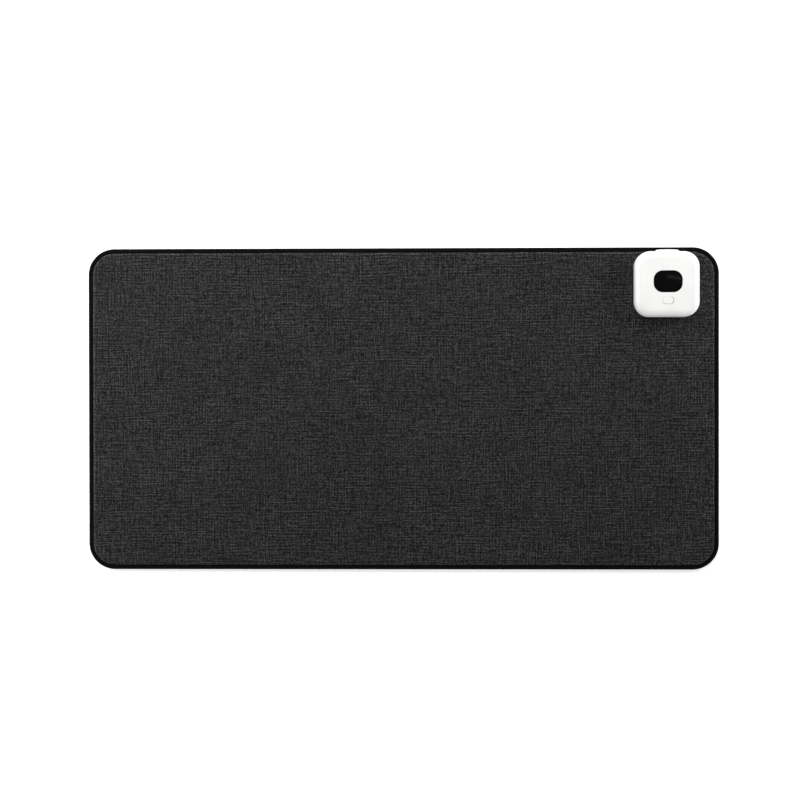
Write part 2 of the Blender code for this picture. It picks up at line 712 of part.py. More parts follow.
def make_heater():
    """The film heater, its terminals and its temperature sensor."""
    carrier = core_layer("heater_carrier_film", FILM, Z_CARRIER, FILM_THICKNESS)
    holes = screw_holes(Z_CARRIER, Z_CARRIER + FILM_THICKNESS, SCREW_SHANK_RADIUS + FIT_GAP)
    cut(carrier, holes, "carrier_holes")
    make_carbon_grid()
    make_busbars()
    cover = core_layer("heater_cover_film", FILM, Z_TOP_FILM, FILM_THICKNESS)
    pierced(cover, Z_TOP_FILM, Z_TOP_FILM + FILM_THICKNESS)
    for name, side in (("rear", -1), ("front", 1)):
        profile = [
            (0, LUG_THICKNESS + LUG_BARREL_HEIGHT),
            (LUG_BARREL_RADIUS, LUG_THICKNESS + LUG_BARREL_HEIGHT),
            (LUG_BARREL_RADIUS, LUG_THICKNESS),
            (LUG_RADIUS, LUG_THICKNESS),
            (LUG_RADIUS, 0),
            (0, 0),
        ]
        turned("terminal_lug_" + name, TIN, profile, (CONTROLLER_X + side * LUG_SPREAD, SLOT_Y, Z_LUG))
    sensor = plate(
        "temperature_sensor",
        EPOXY,
        SENSOR_LENGTH,
        SENSOR_WIDTH,
        Z_FOAM,
        SENSOR_THICKNESS,
        (SENSOR_X, SENSOR_Y),
        SENSOR_CORNER,
    )
    bead = bmesh.new()
    root = Z_FOAM + SENSOR_THICKNESS / 2
    top = Z_FOAM + SENSOR_THICKNESS + SENSOR_BEAD_RISE
    add_drum(bead, SENSOR_BEAD, root, top, (SENSOR_X, SENSOR_Y), SENSOR_BEAD / 2)
    weld_on(sensor, bead, "sensor_bead")


def make_leads():
    """The leads that rise through the wire slot to the underside of the board."""
    end = Z_BOARD - FIT_GAP
    start = Z_LUG_TOP + FIT_GAP
    for name, side, surface in (("rear", -1, RED_SLEEVE), ("front", 1, BLACK_SLEEVE)):
        x = CONTROLLER_X + side * LUG_SPREAD
        sway = x + side * HEATER_LEAD_SWAY
        middle = (start + end) / 2
        points = [(x, SLOT_Y, start), ((x + sway) / 2, SLOT_Y, middle), (sway, SLOT_Y, end)]
        lead("heater_lead_" + name, surface, points, HEATER_LEAD_RADIUS)
    low = Z_FOAM + SENSOR_LEAD_RADIUS + LAYER_GAP
    corner = CONTROLLER_X - SENSOR_LEAD_BEND
    points = [
        (SENSOR_X + SENSOR_LENGTH / 2 + FIT_GAP, SENSOR_Y, low),
        ((SENSOR_X + corner) / 2, SENSOR_Y, low),
        (corner - SENSOR_LEAD_BEND, SENSOR_Y, low),
        (corner, SENSOR_Y, low + SENSOR_LEAD_BEND),
        (corner, SENSOR_Y, end),
    ]
    lead("sensor_lead", BLACK_SLEEVE, points, SENSOR_LEAD_RADIUS)


# Clamp and screws


def make_clamp_plate():
    """The plate under the mat that the four long screws pull up."""
    centre = (CONTROLLER_X, CONTROLLER_Y)
    top = Z_CARRIER - LAYER_GAP
    shape = bmesh.new()
    add_block(shape, PLATE_WIDTH, PLATE_LENGTH, PLATE_RECESS, top, centre, PLATE_CORNER)
    clamp = object_from(shape, "clamp_plate", BLACK)
    cut(clamp, screw_holes(PLATE_RECESS, top, SCREW_SHANK_RADIUS + FIT_GAP), "clamp_holes")
    narrow = SCREW_SHANK_RADIUS + FIT_GAP / 2
    wide = SCREW_HEAD_RADIUS + FIT_GAP
    rim = PLATE_RECESS + SCREW_HEAD_RIM + FIT_GAP
    low = PLATE_RECESS - OVERRUN
    sinks = bmesh.new()
    for _, side, end in CORNER_SIGNS:
        place = (CONTROLLER_X + side * POST_X, CONTROLLER_Y + end * POST_Y)
        add_drum(sinks, wide + rim - low, low, rim + wide - narrow, place, narrow)
    cut(clamp, sinks, "clamp_countersinks")


def make_clamp_screws():
    """Four countersunk screws, from the clamp plate through the mat into the shell's posts."""
    head = SCREW_HEAD_RADIUS - SCREW_SHANK_RADIUS
    low = PLATE_RECESS + FIT_GAP
    tip = Z_FLOOR_TOP + FIT_GAP + SCREW_GRIP - low
    profile = [
        (0, tip),
        (SCREW_SHANK_RADIUS / 2, tip - SCREW_TIP / 3),
        (SCREW_SHANK_RADIUS, tip - SCREW_TIP),
        (SCREW_SHANK_RADIUS, SCREW_HEAD_RIM + head),
        (SCREW_HEAD_RADIUS, SCREW_HEAD_RIM),
        (SCREW_HEAD_RADIUS, 0),
        (0, 0),
    ]
    for name, side, end in CORNER_SIGNS:
        x = CONTROLLER_X + side * POST_X
        y = CONTROLLER_Y + end * POST_Y
        screw = turned("clamp_screw_" + name, STEEL, profile, (x, y, low))
        cross = bmesh.new()
        reach = SCREW_HEAD_RADIUS + SCREW_SHANK_RADIUS / 2
        add_block(cross, reach, SCREW_SLOT_WIDTH, low - OVERRUN, low + SCREW_SLOT_DEPTH, (x, y))
        cut(screw, cross, screw.name + "_slot")
        cross = bmesh.new()
        add_block(cross, SCREW_SLOT_WIDTH, reach, low - OVERRUN, low + SCREW_SLOT_DEPTH, (x, y))
        cut(screw, cross, screw.name + "_cross_slot")


# Controller


def shell_skin():
    """The open skin of the shell: a box with round corners and a round upper edge."""
    shape = bmesh.new()
    add_block(
        shape,
        CONTROLLER_WIDTH,
        CONTROLLER_LENGTH,
        Z_SHELL,
        Z_SHELL_TOP,
        (CONTROLLER_X, CONTROLLER_Y),
        CONTROLLER_CORNER,
    )
    bottom = min(shape.faces, key=lambda face: face.calc_center_median().z)
    bmesh.ops.delete(shape, geom=[bottom], context="FACES_ONLY")
    round_edges(shape, top_face(shape).edges, CONTROLLER_EDGE, EDGE_STEPS)
    return shape


def bulge_block():
    """The raised surround of the power socket, crowned as seen from above."""
    half = BULGE_WIDTH / 2
    radius = (half**2 + BULGE_CROWN**2) / (2 * BULGE_CROWN)
    middle = REAR_WALL_Y + BULGE_REACH - radius
    sweep = math.asin(half / radius)
    angles = [sweep * (1 - 2 * step / CORNER_STEPS) for step in range(CORNER_STEPS + 1)]
    root = REAR_WALL_Y - SHELL_WALL / 2
    outline = [(CONTROLLER_X + radius * math.sin(a), middle + radius * math.cos(a)) for a in angles]
    outline += [(CONTROLLER_X - half, root), (CONTROLLER_X + half, root)]
    shape = bmesh.new()
    face = shape.faces.new([shape.verts.new((x, y, Z_SHELL)) for x, y in outline])
    raised = bmesh.ops.extrude_face_region(shape, geom=[face])["geom"]
    top = [item for item in raised if isinstance(item, bmesh.types.BMVert)]
    bmesh.ops.translate(shape, verts=top, vec=(0, 0, BULGE_HEIGHT))
    bmesh.ops.recalc_face_normals(shape, faces=shape.faces)
    rims = [edge for edge in top_face(shape).edges if min(vertex.co.y for vertex in edge.verts) > root]
    ends = [edge for edge in shape.edges if is_upright(edge) and REAR_WALL_Y < edge.verts[0].co.y]
    ends = [edge for edge in ends if abs(edge.verts[0].co.x - CONTROLLER_X) > half - BULGE_EDGE]
    round_edges(shape, rims + ends, BULGE_EDGE, SMALL_EDGE_STEPS)
    return shape


def shell_bosses():
    """The four screw posts and the four board bosses that hang from the shell's ceiling."""
    shape = bmesh.new()
    for _, side, end in CORNER_SIGNS:
        place = (CONTROLLER_X + side * POST_X, CONTROLLER_Y + end * POST_Y)
        add_drum(shape, POST_RADIUS, Z_FLOOR_TOP + FIT_GAP, Z_CEILING + SINK, place)
        place = (CONTROLLER_X + side * BOSS_X, BOARD_Y + end * BOSS_Y)
        add_drum(shape, BOARD_BOSS_RADIUS, Z_ON_BOARD, Z_CEILING + SINK, place)
    return shape


def shell_openings():
    """The window, the button's opening, the pilot holes and the socket's hole."""
    shape = bmesh.new()
    add_block(
        shape,
        WINDOW_WIDTH - 2 * WINDOW_LEDGE,
        WINDOW_DEPTH - 2 * WINDOW_LEDGE,
        Z_CEILING - OVERRUN,
        Z_SHELL_TOP + OVERRUN,
        (CONTROLLER_X, WINDOW_Y),
        WINDOW_CORNER - WINDOW_LEDGE,
    )
    add_block(
        shape,
        BUTTON_WIDTH + 2 * FIT_GAP,
        BUTTON_DEPTH + 2 * FIT_GAP,
        Z_CEILING - OVERRUN,
        Z_SHELL_TOP + OVERRUN,
        (CONTROLLER_X, BUTTON_Y),
        BUTTON_CORNER + FIT_GAP,
    )
    for _, side, end in CORNER_SIGNS:
        place = (CONTROLLER_X + side * POST_X, CONTROLLER_Y + end * POST_Y)
        top = Z_FLOOR_TOP + FIT_GAP + SCREW_GRIP + FIT_GAP
        add_drum(shape, SCREW_SHANK_RADIUS + FIT_GAP, Z_FLOOR_TOP - OVERRUN, top, place)
        place = (CONTROLLER_X + side * BOSS_X, BOARD_Y + end * BOSS_Y)
        top = Z_ON_BOARD + BOARD_SCREW_GRIP + FIT_GAP
        add_drum(shape, BOARD_SCREW_RADIUS + FIT_GAP, Z_BOARD_TOP - OVERRUN, top, place)
    add_rod(
        shape,
        JACK_NOSE_RADIUS + FIT_GAP,
        REAR_WALL_Y - SHELL_WALL - OVERRUN,
        REAR_WALL_Y + BULGE_REACH + OVERRUN,
        CONTROLLER_X,
        Z_JACK_AXIS,
    )
    return shape


def make_controller_shell():
    """The white shell over the electronics."""
    shell = object_from(shell_skin(), "controller_shell", WHITE)
    give_thickness(shell, SHELL_WALL, upwards=False)
    weld_on(shell, bulge_block(), "socket_bulge")
    weld_on(shell, shell_bosses(), "shell_bosses")
    cut(shell, shell_openings(), "shell_openings")
    seat = bmesh.new()
    add_block(
        seat,
        WINDOW_WIDTH + 2 * FIT_GAP / 3,
        WINDOW_DEPTH + 2 * FIT_GAP / 3,
        Z_LEDGE,
        Z_SHELL_TOP + OVERRUN,
        (CONTROLLER_X, WINDOW_Y),
        WINDOW_CORNER,
    )
    cut(shell, seat, "lens_seat")


def make_controller_floor():
    """The insulating floor between the electronics and the mat."""
    margin = SHELL_WALL + FIT_GAP
    floor = plate(
        "controller_floor",
        BLACK,
        CONTROLLER_WIDTH - 2 * margin,
        CONTROLLER_LENGTH - 2 * margin,
        Z_SHELL,
        FLOOR_THICKNESS,
        (CONTROLLER_X, CONTROLLER_Y),
        CONTROLLER_CORNER - margin,
    )
    pierced(floor, Z_SHELL, Z_FLOOR_TOP)


def make_window():
    """The smoked lens and the display block under it."""
    at = (CONTROLLER_X, WINDOW_Y)
    height = Z_LEDGE - Z_ON_BOARD
    plate("display_lens", SMOKED, WINDOW_WIDTH, WINDOW_DEPTH, Z_LENS, LENS_THICKNESS, at, WINDOW_CORNER)
    plate("display_module", EPOXY, DISPLAY_WIDTH, DISPLAY_DEPTH, Z_ON_BOARD, height, at, DISPLAY_CORNER)


def make_button():
    """The button cap, with the flange that keeps it in the shell."""
    shape = bmesh.new()
    top = Z_SHELL_TOP + BUTTON_RISE
    place = (CONTROLLER_X, BUTTON_Y)
    add_block(shape, BUTTON_WIDTH, BUTTON_DEPTH, Z_FLANGE_TOP - SINK, top, place, BUTTON_CORNER)
    round_edges(shape, top_face(shape).edges, BUTTON_EDGE, SMALL_EDGE_STEPS)
    cap = object_from(shape, "button_cap", WHITE)
    flange = bmesh.new()
    width = BUTTON_WIDTH + 2 * BUTTON_FLANGE
    depth = BUTTON_DEPTH + 2 * BUTTON_FLANGE
    add_block(flange, width, depth, Z_FLANGE, Z_FLANGE_TOP, place, BUTTON_CORNER + BUTTON_FLANGE)
    weld_on(cap, flange, "button_flange")


def make_push_switch():
    """The push switch on the board, and its sprung stem."""
    place = (CONTROLLER_X, BUTTON_Y)
    body = plate(
        "switch_body",
        BLACK,
        SWITCH_SIDE,
        SWITCH_SIDE,
        Z_ON_BOARD,
        Z_SWITCH_TOP - Z_ON_BOARD,
        place,
        SWITCH_CORNER,
    )
    well = bmesh.new()
    bottom = Z_SWITCH_TOP - SWITCH_STEM_SEAT - BUTTON_TRAVEL - FIT_GAP
    add_drum(well, SWITCH_STEM_RADIUS + FIT_GAP, bottom, Z_SWITCH_TOP + OVERRUN, place)
    cut(body, well, "switch_well")
    profile = [
        (0, SWITCH_STEM_SEAT + SWITCH_STEM_RISE),
        (SWITCH_STEM_RADIUS, SWITCH_STEM_SEAT + SWITCH_STEM_RISE),
        (SWITCH_STEM_RADIUS, 0),
        (0, 0),
    ]
    turned("switch_plunger", BLACK, profile, (*place, Z_SWITCH_TOP - SWITCH_STEM_SEAT))


def make_board():
    """The circuit board, notched for the socket, with holes for its screws."""
    board = plate(
        "circuit_board",
        LAMINATE,
        BOARD_WIDTH,
        BOARD_LENGTH,
        Z_BOARD,
        BOARD_THICKNESS,
        (CONTROLLER_X, BOARD_Y),
        BOARD_CORNER,
    )
    shape = bmesh.new()
    rear = BOARD_Y + BOARD_LENGTH / 2 + OVERRUN
    front = JACK_BOX_FRONT - FIT_GAP
    add_block(
        shape,
        JACK_WIDTH + 2 * FIT_GAP,
        rear - front,
        Z_BOARD - OVERRUN,
        Z_BOARD_TOP + OVERRUN,
        (CONTROLLER_X, (rear + front) / 2),
    )
    for _, side, end in CORNER_SIGNS:
        place = (CONTROLLER_X + side * BOSS_X, BOARD_Y + end * BOSS_Y)
        add_drum(shape, BOARD_SCREW_RADIUS + FIT_GAP, Z_BOARD - OVERRUN, Z_BOARD_TOP + OVERRUN, place)
    cut(board, shape, "board_openings")


def make_board_screws():
    """Four small screws, from under the board into the shell's bosses."""
    head = Z_BOARD - FIT_GAP - BOARD_SCREW_HEAD_HEIGHT
    tip = Z_ON_BOARD + BOARD_SCREW_GRIP - head
    profile = [
        (0, tip),
        (BOARD_SCREW_RADIUS, tip - BOARD_SCREW_RADIUS),
        (BOARD_SCREW_RADIUS, BOARD_SCREW_HEAD_HEIGHT),
        (BOARD_SCREW_HEAD_RADIUS, BOARD_SCREW_HEAD_HEIGHT),
        (BOARD_SCREW_HEAD_RADIUS, BOARD_SCREW_HEAD_HEIGHT / 3),
        (BOARD_SCREW_HEAD_RADIUS * 2 / 3, 0),
        (0, 0),
    ]
    for name, side, end in CORNER_SIGNS:
        place = (CONTROLLER_X + side * BOSS_X, BOARD_Y + end * BOSS_Y, head)
        turned("board_screw_" + name, STEEL, profile, place)


def board_place(shares):
    """A place on the board from shares of its half width and half length."""
    across, along = shares
    return (CONTROLLER_X + across * BOARD_WIDTH / 2, BOARD_Y + along * BOARD_LENGTH / 2)


def make_microcontroller():
    """The microcontroller, with a row of leads along each side."""
    x = CONTROLLER_X + CHIP_SIDE_SHARE * BOARD_WIDTH / 2
    place = (x, CHIP_Y)
    low = Z_ON_BOARD + CHIP_LEAD_THICKNESS / 2
    chip = plate("microcontroller", EPOXY, CHIP_WIDTH, CHIP_LENGTH, low, CHIP_HEIGHT, place)
    leads = bmesh.new()
    width = CHIP_WIDTH + 2 * CHIP_LEAD_REACH
    for index in range(CHIP_LEADS):
        y = CHIP_Y + (index - (CHIP_LEADS - 1) / 2) * CHIP_LEAD_PITCH
        add_block(leads, width, CHIP_LEAD_WIDTH, Z_ON_BOARD, Z_ON_BOARD + CHIP_LEAD_THICKNESS, (x, y))
    weld_on(chip, leads, "chip_leads")


def make_power_parts():
    """The transistor that switches the heater, the voltage regulator and the capacitor."""
    x, y = board_place(TRANSISTOR_PLACE_SHARES)
    transistor = plate(
        "power_transistor",
        EPOXY,
        TRANSISTOR_WIDTH,
        TRANSISTOR_LENGTH,
        Z_ON_BOARD,
        TRANSISTOR_HEIGHT,
        (x, y),
    )
    tab = bmesh.new()
    rear = y + TRANSISTOR_LENGTH / 2 + TRANSISTOR_TAB
    front = y
    add_block(
        tab,
        TRANSISTOR_WIDTH * 4 / 5,
        rear - front,
        Z_ON_BOARD,
        Z_ON_BOARD + TRANSISTOR_TAB_THICKNESS,
        (x, (rear + front) / 2),
    )
    weld_on(transistor, tab, "transistor_tab")
    plate(
        "voltage_regulator",
        EPOXY,
        REGULATOR_WIDTH,
        REGULATOR_LENGTH,
        Z_ON_BOARD,
        REGULATOR_HEIGHT,
        (CONTROLLER_X + BESIDE_SOCKET + REGULATOR_WIDTH / 2, BEHIND_DISPLAY + REGULATOR_LENGTH / 2),
    )
    neck = CAPACITOR_RADIUS - CAPACITOR_GROOVE
    profile = [
        (0, CAPACITOR_HEIGHT),
        (neck, CAPACITOR_HEIGHT),
        (CAPACITOR_RADIUS, CAPACITOR_HEIGHT - CAPACITOR_GROOVE),
        (CAPACITOR_RADIUS, CAPACITOR_FOOT + 2 * CAPACITOR_GROOVE),
        (neck, CAPACITOR_FOOT + CAPACITOR_GROOVE),
        (CAPACITOR_RADIUS, CAPACITOR_FOOT),
        (CAPACITOR_RADIUS, 0),
        (0, 0),
    ]
    x = CONTROLLER_X - BESIDE_SOCKET - CAPACITOR_RADIUS
    turned("input_capacitor", CAN, profile, (x, BEHIND_DISPLAY + CAPACITOR_RADIUS, Z_ON_BOARD))


def make_power_socket():
    """The round low-voltage socket: its body, its centre pin and its side contact."""
    shape = bmesh.new()
    middle = (JACK_BOX_FRONT + JACK_BOX_REAR) / 2
    bottom = JACK_NOSE_Y - JACK_BORE_DEPTH
    add_block(shape, JACK_WIDTH, JACK_LENGTH, Z_JACK, Z_JACK + JACK_HEIGHT, (CONTROLLER_X, middle))
    body = object_from(shape, "socket_body", BLACK)
    nose = bmesh.new()
    add_rod(nose, JACK_NOSE_RADIUS, middle, JACK_NOSE_Y, CONTROLLER_X, Z_JACK_AXIS)
    weld_on(body, nose, "socket_nose")
    bore = bmesh.new()
    add_rod(bore, JACK_BORE_RADIUS, bottom, JACK_NOSE_Y + OVERRUN, CONTROLLER_X, Z_JACK_AXIS)
    cut(body, bore, "socket_bore")
    seat = bmesh.new()
    around = JACK_PIN_RADIUS + FIT_GAP
    add_rod(seat, around, JACK_BOX_FRONT - OVERRUN, bottom + OVERRUN, CONTROLLER_X, Z_JACK_AXIS)
    cut(body, seat, "socket_pin_seat")
    end = JACK_NOSE_Y - JACK_PIN_SETBACK
    pin = bmesh.new()
    add_rod(pin, JACK_PIN_RADIUS, JACK_BOX_FRONT, end, CONTROLLER_X, Z_JACK_AXIS)
    tip = max(pin.faces, key=lambda face: face.calc_center_median().y)
    round_edges(pin, tip.edges, JACK_PIN_RADIUS / 2, SMALL_EDGE_STEPS)
    object_from(pin, "socket_pin", TIN)
    make_socket_contact(body, bottom)


def make_socket_contact(body, bottom):
    """The sprung side contact, which bows into the bore from a slot in the socket's body."""
    back = CONTROLLER_X - JACK_BORE_RADIUS - JACK_CONTACT_THICKNESS
    front = bottom + FIT_GAP
    run = JACK_BOX_REAR - FIT_GAP - front
    inner = []
    for along, bow in JACK_CONTACT_BOW_SHARES:
        inner.append((back + JACK_CONTACT_THICKNESS + bow * JACK_CONTACT_RISE, front + along * run))
    outer = [(x - JACK_CONTACT_THICKNESS, y) for x, y in reversed(inner)]
    low = Z_JACK_AXIS - JACK_CONTACT_WIDTH / 2
    extruded("socket_contact", TIN, [inner + outer], low, JACK_CONTACT_WIDTH)
    slot = bmesh.new()
    add_block(
        slot,
        CONTROLLER_X - back + FIT_GAP,
        run + 4 * FIT_GAP,
        low - FIT_GAP,
        low + JACK_CONTACT_WIDTH + FIT_GAP,
        ((CONTROLLER_X + back - FIT_GAP) / 2, front + run / 2),
    )
    cut(body, slot, "socket_contact_slot")


def make_controller():
    """Everything in and on the controller."""
    make_controller_shell()
    make_controller_floor()
    make_window()
    make_button()
    make_push_switch()
    make_board()
    make_board_screws()
    make_microcontroller()
    make_power_parts()
    make_power_socket()


def main():
    """Build the whole mat."""
    make_anti_slip_base()
    make_felt()
    make_heater()
    make_foam_pad()
    make_fabric_cover()
    make_edge_binding()
    make_clamp_plate()
    make_clamp_screws()
    make_controller()
    make_leads()


main()
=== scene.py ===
"""Looks of a heated desk mat: woven cover, stitched edge, rubber underside and white controller.

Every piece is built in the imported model's frame: metres, +Z up, +X along the long side towards the
controller, +Y to the rear, with the mat's underside on z = 0.
"""

from __future__ import annotations

import logging
import math
import sys
from collections.abc import Sequence
from dataclasses import dataclass, replace
from enum import Enum

import bmesh
import bpy
from mathutils import Matrix, Vector, noise


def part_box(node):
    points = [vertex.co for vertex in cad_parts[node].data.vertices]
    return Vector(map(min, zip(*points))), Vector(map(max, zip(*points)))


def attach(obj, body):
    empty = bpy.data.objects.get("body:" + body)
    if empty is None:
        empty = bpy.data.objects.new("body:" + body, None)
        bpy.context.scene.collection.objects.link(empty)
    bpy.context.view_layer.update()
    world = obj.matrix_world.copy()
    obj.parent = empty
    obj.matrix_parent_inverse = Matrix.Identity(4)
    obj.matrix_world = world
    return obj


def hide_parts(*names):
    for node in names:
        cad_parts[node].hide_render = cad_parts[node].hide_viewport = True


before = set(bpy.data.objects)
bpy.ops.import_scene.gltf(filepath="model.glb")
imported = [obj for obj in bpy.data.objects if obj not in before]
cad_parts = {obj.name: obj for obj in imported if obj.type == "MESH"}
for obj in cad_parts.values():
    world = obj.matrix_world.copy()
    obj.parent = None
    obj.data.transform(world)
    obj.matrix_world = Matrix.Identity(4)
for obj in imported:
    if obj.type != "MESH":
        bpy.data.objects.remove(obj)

LOG = logging.getLogger("heated_desk_mat")
MM = 0.001
FULL_TURN = 2 * math.pi
SLIVER = 2e-6  # metres; edges this short are merged after a cut
TOUCHING = 1e-7  # metres; points this close are one
LEAST_CORNER = 0.05 * MM
CLAMP_CORNER = 11.5 * MM
DRUM_FACETS = 48
COURSE_FACETS = 40  # in each corner of a line of stitches
UNEVENNESS = 0.06  # share by which a stitch is longer, shorter or narrower, at most
FACING_REAR = Matrix.Rotation(-math.pi / 2, 4, "X")
ASIDE = Vector((0.0, 0.37, 0.93))  # a direction that no thread follows
SPECKLE_LOW, SPECKLE_HIGH = 0.3, 0.7  # nearly all of a speckle's values lie between them
FINE = (3.0, 0.6)  # finer layers of a crisp speckle, and their strength

Socket = bpy.types.NodeSocket
Piece = bpy.types.Object
Source = Socket | bpy.types.ID | float | tuple
Point = tuple[float, float]
Place = tuple[float, float, float]
Colour = tuple[float, float, float]
Ring = list[bmesh.types.BMVert]


class Body(Enum):
    """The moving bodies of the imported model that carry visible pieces."""

    MAT = "mat"
    BUTTON = "button"


class Join(Enum):
    """How one solid acts on another."""

    ADD = "UNION"
    TAKE = "DIFFERENCE"


# Node trees


class Graph:
    """A node tree, with short calls for the nodes that finishes and repeats share."""

    def __init__(self, tree: bpy.types.NodeTree) -> None:
        """Wrap a tree.

        Args:
            tree: The tree that the nodes go into.
        """
        self.tree = tree

    def add(
        self, kind: str, inputs: dict[str | int, Source] | None = None, **settings: object
    ) -> bpy.types.Node:
        """Make a node.

        Args:
            kind: The node's type name in Blender.
            inputs: What feeds its sockets, by their names or numbers.
            **settings: Properties to set on the node.

        Returns:
            The new node.
        """
        node = self.tree.nodes.new(kind)
        for name, value in settings.items():
            setattr(node, name, value)
        for key, source in (inputs or {}).items():
            self.feed(node.inputs[key], source)
        return node

    def feed(self, target: Socket, source: Source) -> None:
        """Link a socket to another one, or set its plain value.

        Args:
            target: The input socket.
            source: An output socket, or a plain value.
        """
        if isinstance(source, Socket):
            self.tree.links.new(source, target)
        else:
            target.default_value = source

    def sum(self, operation: str, *terms: Source) -> Socket:
        """Work out a number from one to three terms, by a Math node's operation."""
        return self.add("ShaderNodeMath", dict(enumerate(terms)), operation=operation).outputs[0]

    def vector(self, operation: str, *terms: Source) -> Socket:
        """Work out a vector, or a length, by a Vector Math node's operation."""
        node = self.add("ShaderNodeVectorMath", dict(enumerate(terms)), operation=operation)
        return node.outputs["Value" if operation == "LENGTH" else "Vector"]

    def parts(self, vector: Socket) -> list[Socket]:
        """Split a vector into its x, y and z sockets."""
        return list(self.add("ShaderNodeSeparateXYZ", {0: vector}).outputs)

    def joined(self, *terms: Source) -> Socket:
        """Make a vector from two or three sockets or numbers."""
        return self.add("ShaderNodeCombineXYZ", dict(enumerate(terms))).outputs[0]

    def centred(self, value: Source) -> Socket:
        """Bring a value that goes from 0 to 1 about 0."""
        return self.sum("SUBTRACT", value, 0.5)

    def mixed(self, first: Source, second: Source, share: float) -> Socket:
        """Mix two numbers, with a share of the second and the rest of the first."""
        return self.sum("MULTIPLY_ADD", first, 1 - share, self.sum("MULTIPLY", second, share))


class ShaderGraph(Graph):
    """A material's tree, with its Principled shader."""

    def __init__(self, material: bpy.types.Material) -> None:
        """Open a material's tree.

        Args:
            material: The material to dress.
        """
        material.use_nodes = True
        super().__init__(material.node_tree)
        self.shader = self.tree.nodes["Principled BSDF"]
        metres = self.add("ShaderNodeTexCoord").outputs["Object"]
        self.place = self.vector("MULTIPLY", metres, (1 / MM, 1 / MM, 1 / MM))

    def speckle(
        self, scale: float, detail: float = 2.0, rough: float = 0.5, at: Socket | None = None
    ) -> Socket:
        """Smooth noise.

        Args:
            scale: Waves per millimetre.
            detail: How many finer layers lie on it.
            rough: How strong the finer layers are.
            at: Where to read it, or None for the place in millimetres.

        Returns:
            A socket from 0 to 1.
        """
        where = self.place if at is None else at
        inputs = {"Vector": where, "Scale": scale, "Detail": detail, "Roughness": rough}
        return self.add("ShaderNodeTexNoise", inputs).outputs["Fac"]

    def spread(
        self, value: Source, low: float, high: float, start: float = SPECKLE_LOW, end: float = SPECKLE_HIGH
    ) -> Socket:
        """Map a value onto a range, held at its ends.

        Args:
            value: The socket to map.
            low: What start becomes.
            high: What end becomes.
            start: The value's low end.
            end: The value's high end.

        Returns:
            The mapped socket.
        """
        inputs = {"Value": value, "From Min": start, "From Max": end, "To Min": low, "To Max": high}
        return self.add("ShaderNodeMapRange", inputs).outputs[0]

    def ramp(self, value: Source, *stops: tuple[float, Colour]) -> Socket:
        """Colour by value.

        Args:
            value: The socket to read.
            *stops: Places from 0 to 1, each with its colour.

        Returns:
            The colour's socket.
        """
        node = self.add("ShaderNodeValToRGB", {0: value})
        marks = node.color_ramp.elements
        while len(marks) < len(stops):
            marks.new(1.0)
        for mark, (place, colour) in zip(marks, stops):
            mark.position = place
            mark.color = (*colour, 1.0)
        return node.outputs["Color"]

    def tinted(self, first: Socket, second: Socket) -> Socket:
        """Multiply two colours."""
        inputs = {"Factor": 1.0, 6: first, 7: second}
        return self.add("ShaderNodeMix", inputs, data_type="RGBA", blend_type="MULTIPLY").outputs[2]

    def dimmed(self, colour: Socket, share: Socket) -> Socket:
        """Multiply a colour by a number."""
        return self.tinted(colour, self.joined(share, share, share))

    def relief(self, height: Source, distance: float, strength: float) -> None:
        """Raise the surface by a height from 0 to 1.

        Args:
            height: The height's socket.
            distance: What a height of 1 is worth, in millimetres.
            strength: How much of the relief shows.
        """
        inputs = {"Strength": strength, "Distance": distance * MM, "Height": height}
        self.settle(Normal=self.add("ShaderNodeBump", inputs).outputs["Normal"])

    def settle(self, **values: Source) -> None:
        """Set the shader's own sockets.

        Args:
            **values: Socket names with underscores for spaces, and their values or sources.
        """
        for name, value in values.items():
            socket = self.shader.inputs[name.replace("_", " ")]
            self.feed(socket, (*value, 1.0) if isinstance(value, tuple) and len(value) == 3 else value)


# Finishes

MATERIALS: dict[str, bpy.types.Material] = {}


@dataclass(frozen=True)
class Finish:
    """A surface finish. Each kind paints its own nodes."""

    name: str
    colour: Colour
    roughness: float

    def material(self) -> bpy.types.Material:
        """The finish as a material, made once.

        Returns:
            The material.
        """
        if self.name in MATERIALS:
            return MATERIALS[self.name]
        made = bpy.data.materials.new(self.name)
        MATERIALS[self.name] = made
        made.diffuse_color = (*self.colour, 1.0)
        graph = ShaderGraph(made)
        graph.settle(Base_Color=self.colour, Roughness=self.roughness)
        self.paint(graph)
        return made

    def paint(self, graph: ShaderGraph) -> None:
        """Dress the material.

        Args:
            graph: The material's tree.
        """
        raise NotImplementedError

    def toned(self, graph: ShaderGraph, value: Source, *stops: Point) -> Socket:
        """The finish's colour, lighter or darker by a value.

        Args:
            graph: The material's tree.
            value: The socket to read.
            *stops: Places from 0 to 1, each with the share of the colour there.

        Returns:
            The colour's socket.
        """
        shades = [(place, tuple(channel * share for channel in self.colour)) for place, share in stops]
        return graph.ramp(value, *shades)

    def mottled(self, graph: ShaderGraph, speckle: Source, low: float, high: float) -> Socket:
        """The finish's colour, from a low to a high share of it as a speckle rises."""
        return self.toned(graph, speckle, (SPECKLE_LOW, low), (SPECKLE_HIGH, high))

    def worn(self, graph: ShaderGraph, speckle: Source, less: float, more: float) -> Socket:
        """The finish's roughness, from less to more than its own as a speckle rises."""
        return graph.spread(speckle, self.roughness - less, self.roughness + more)


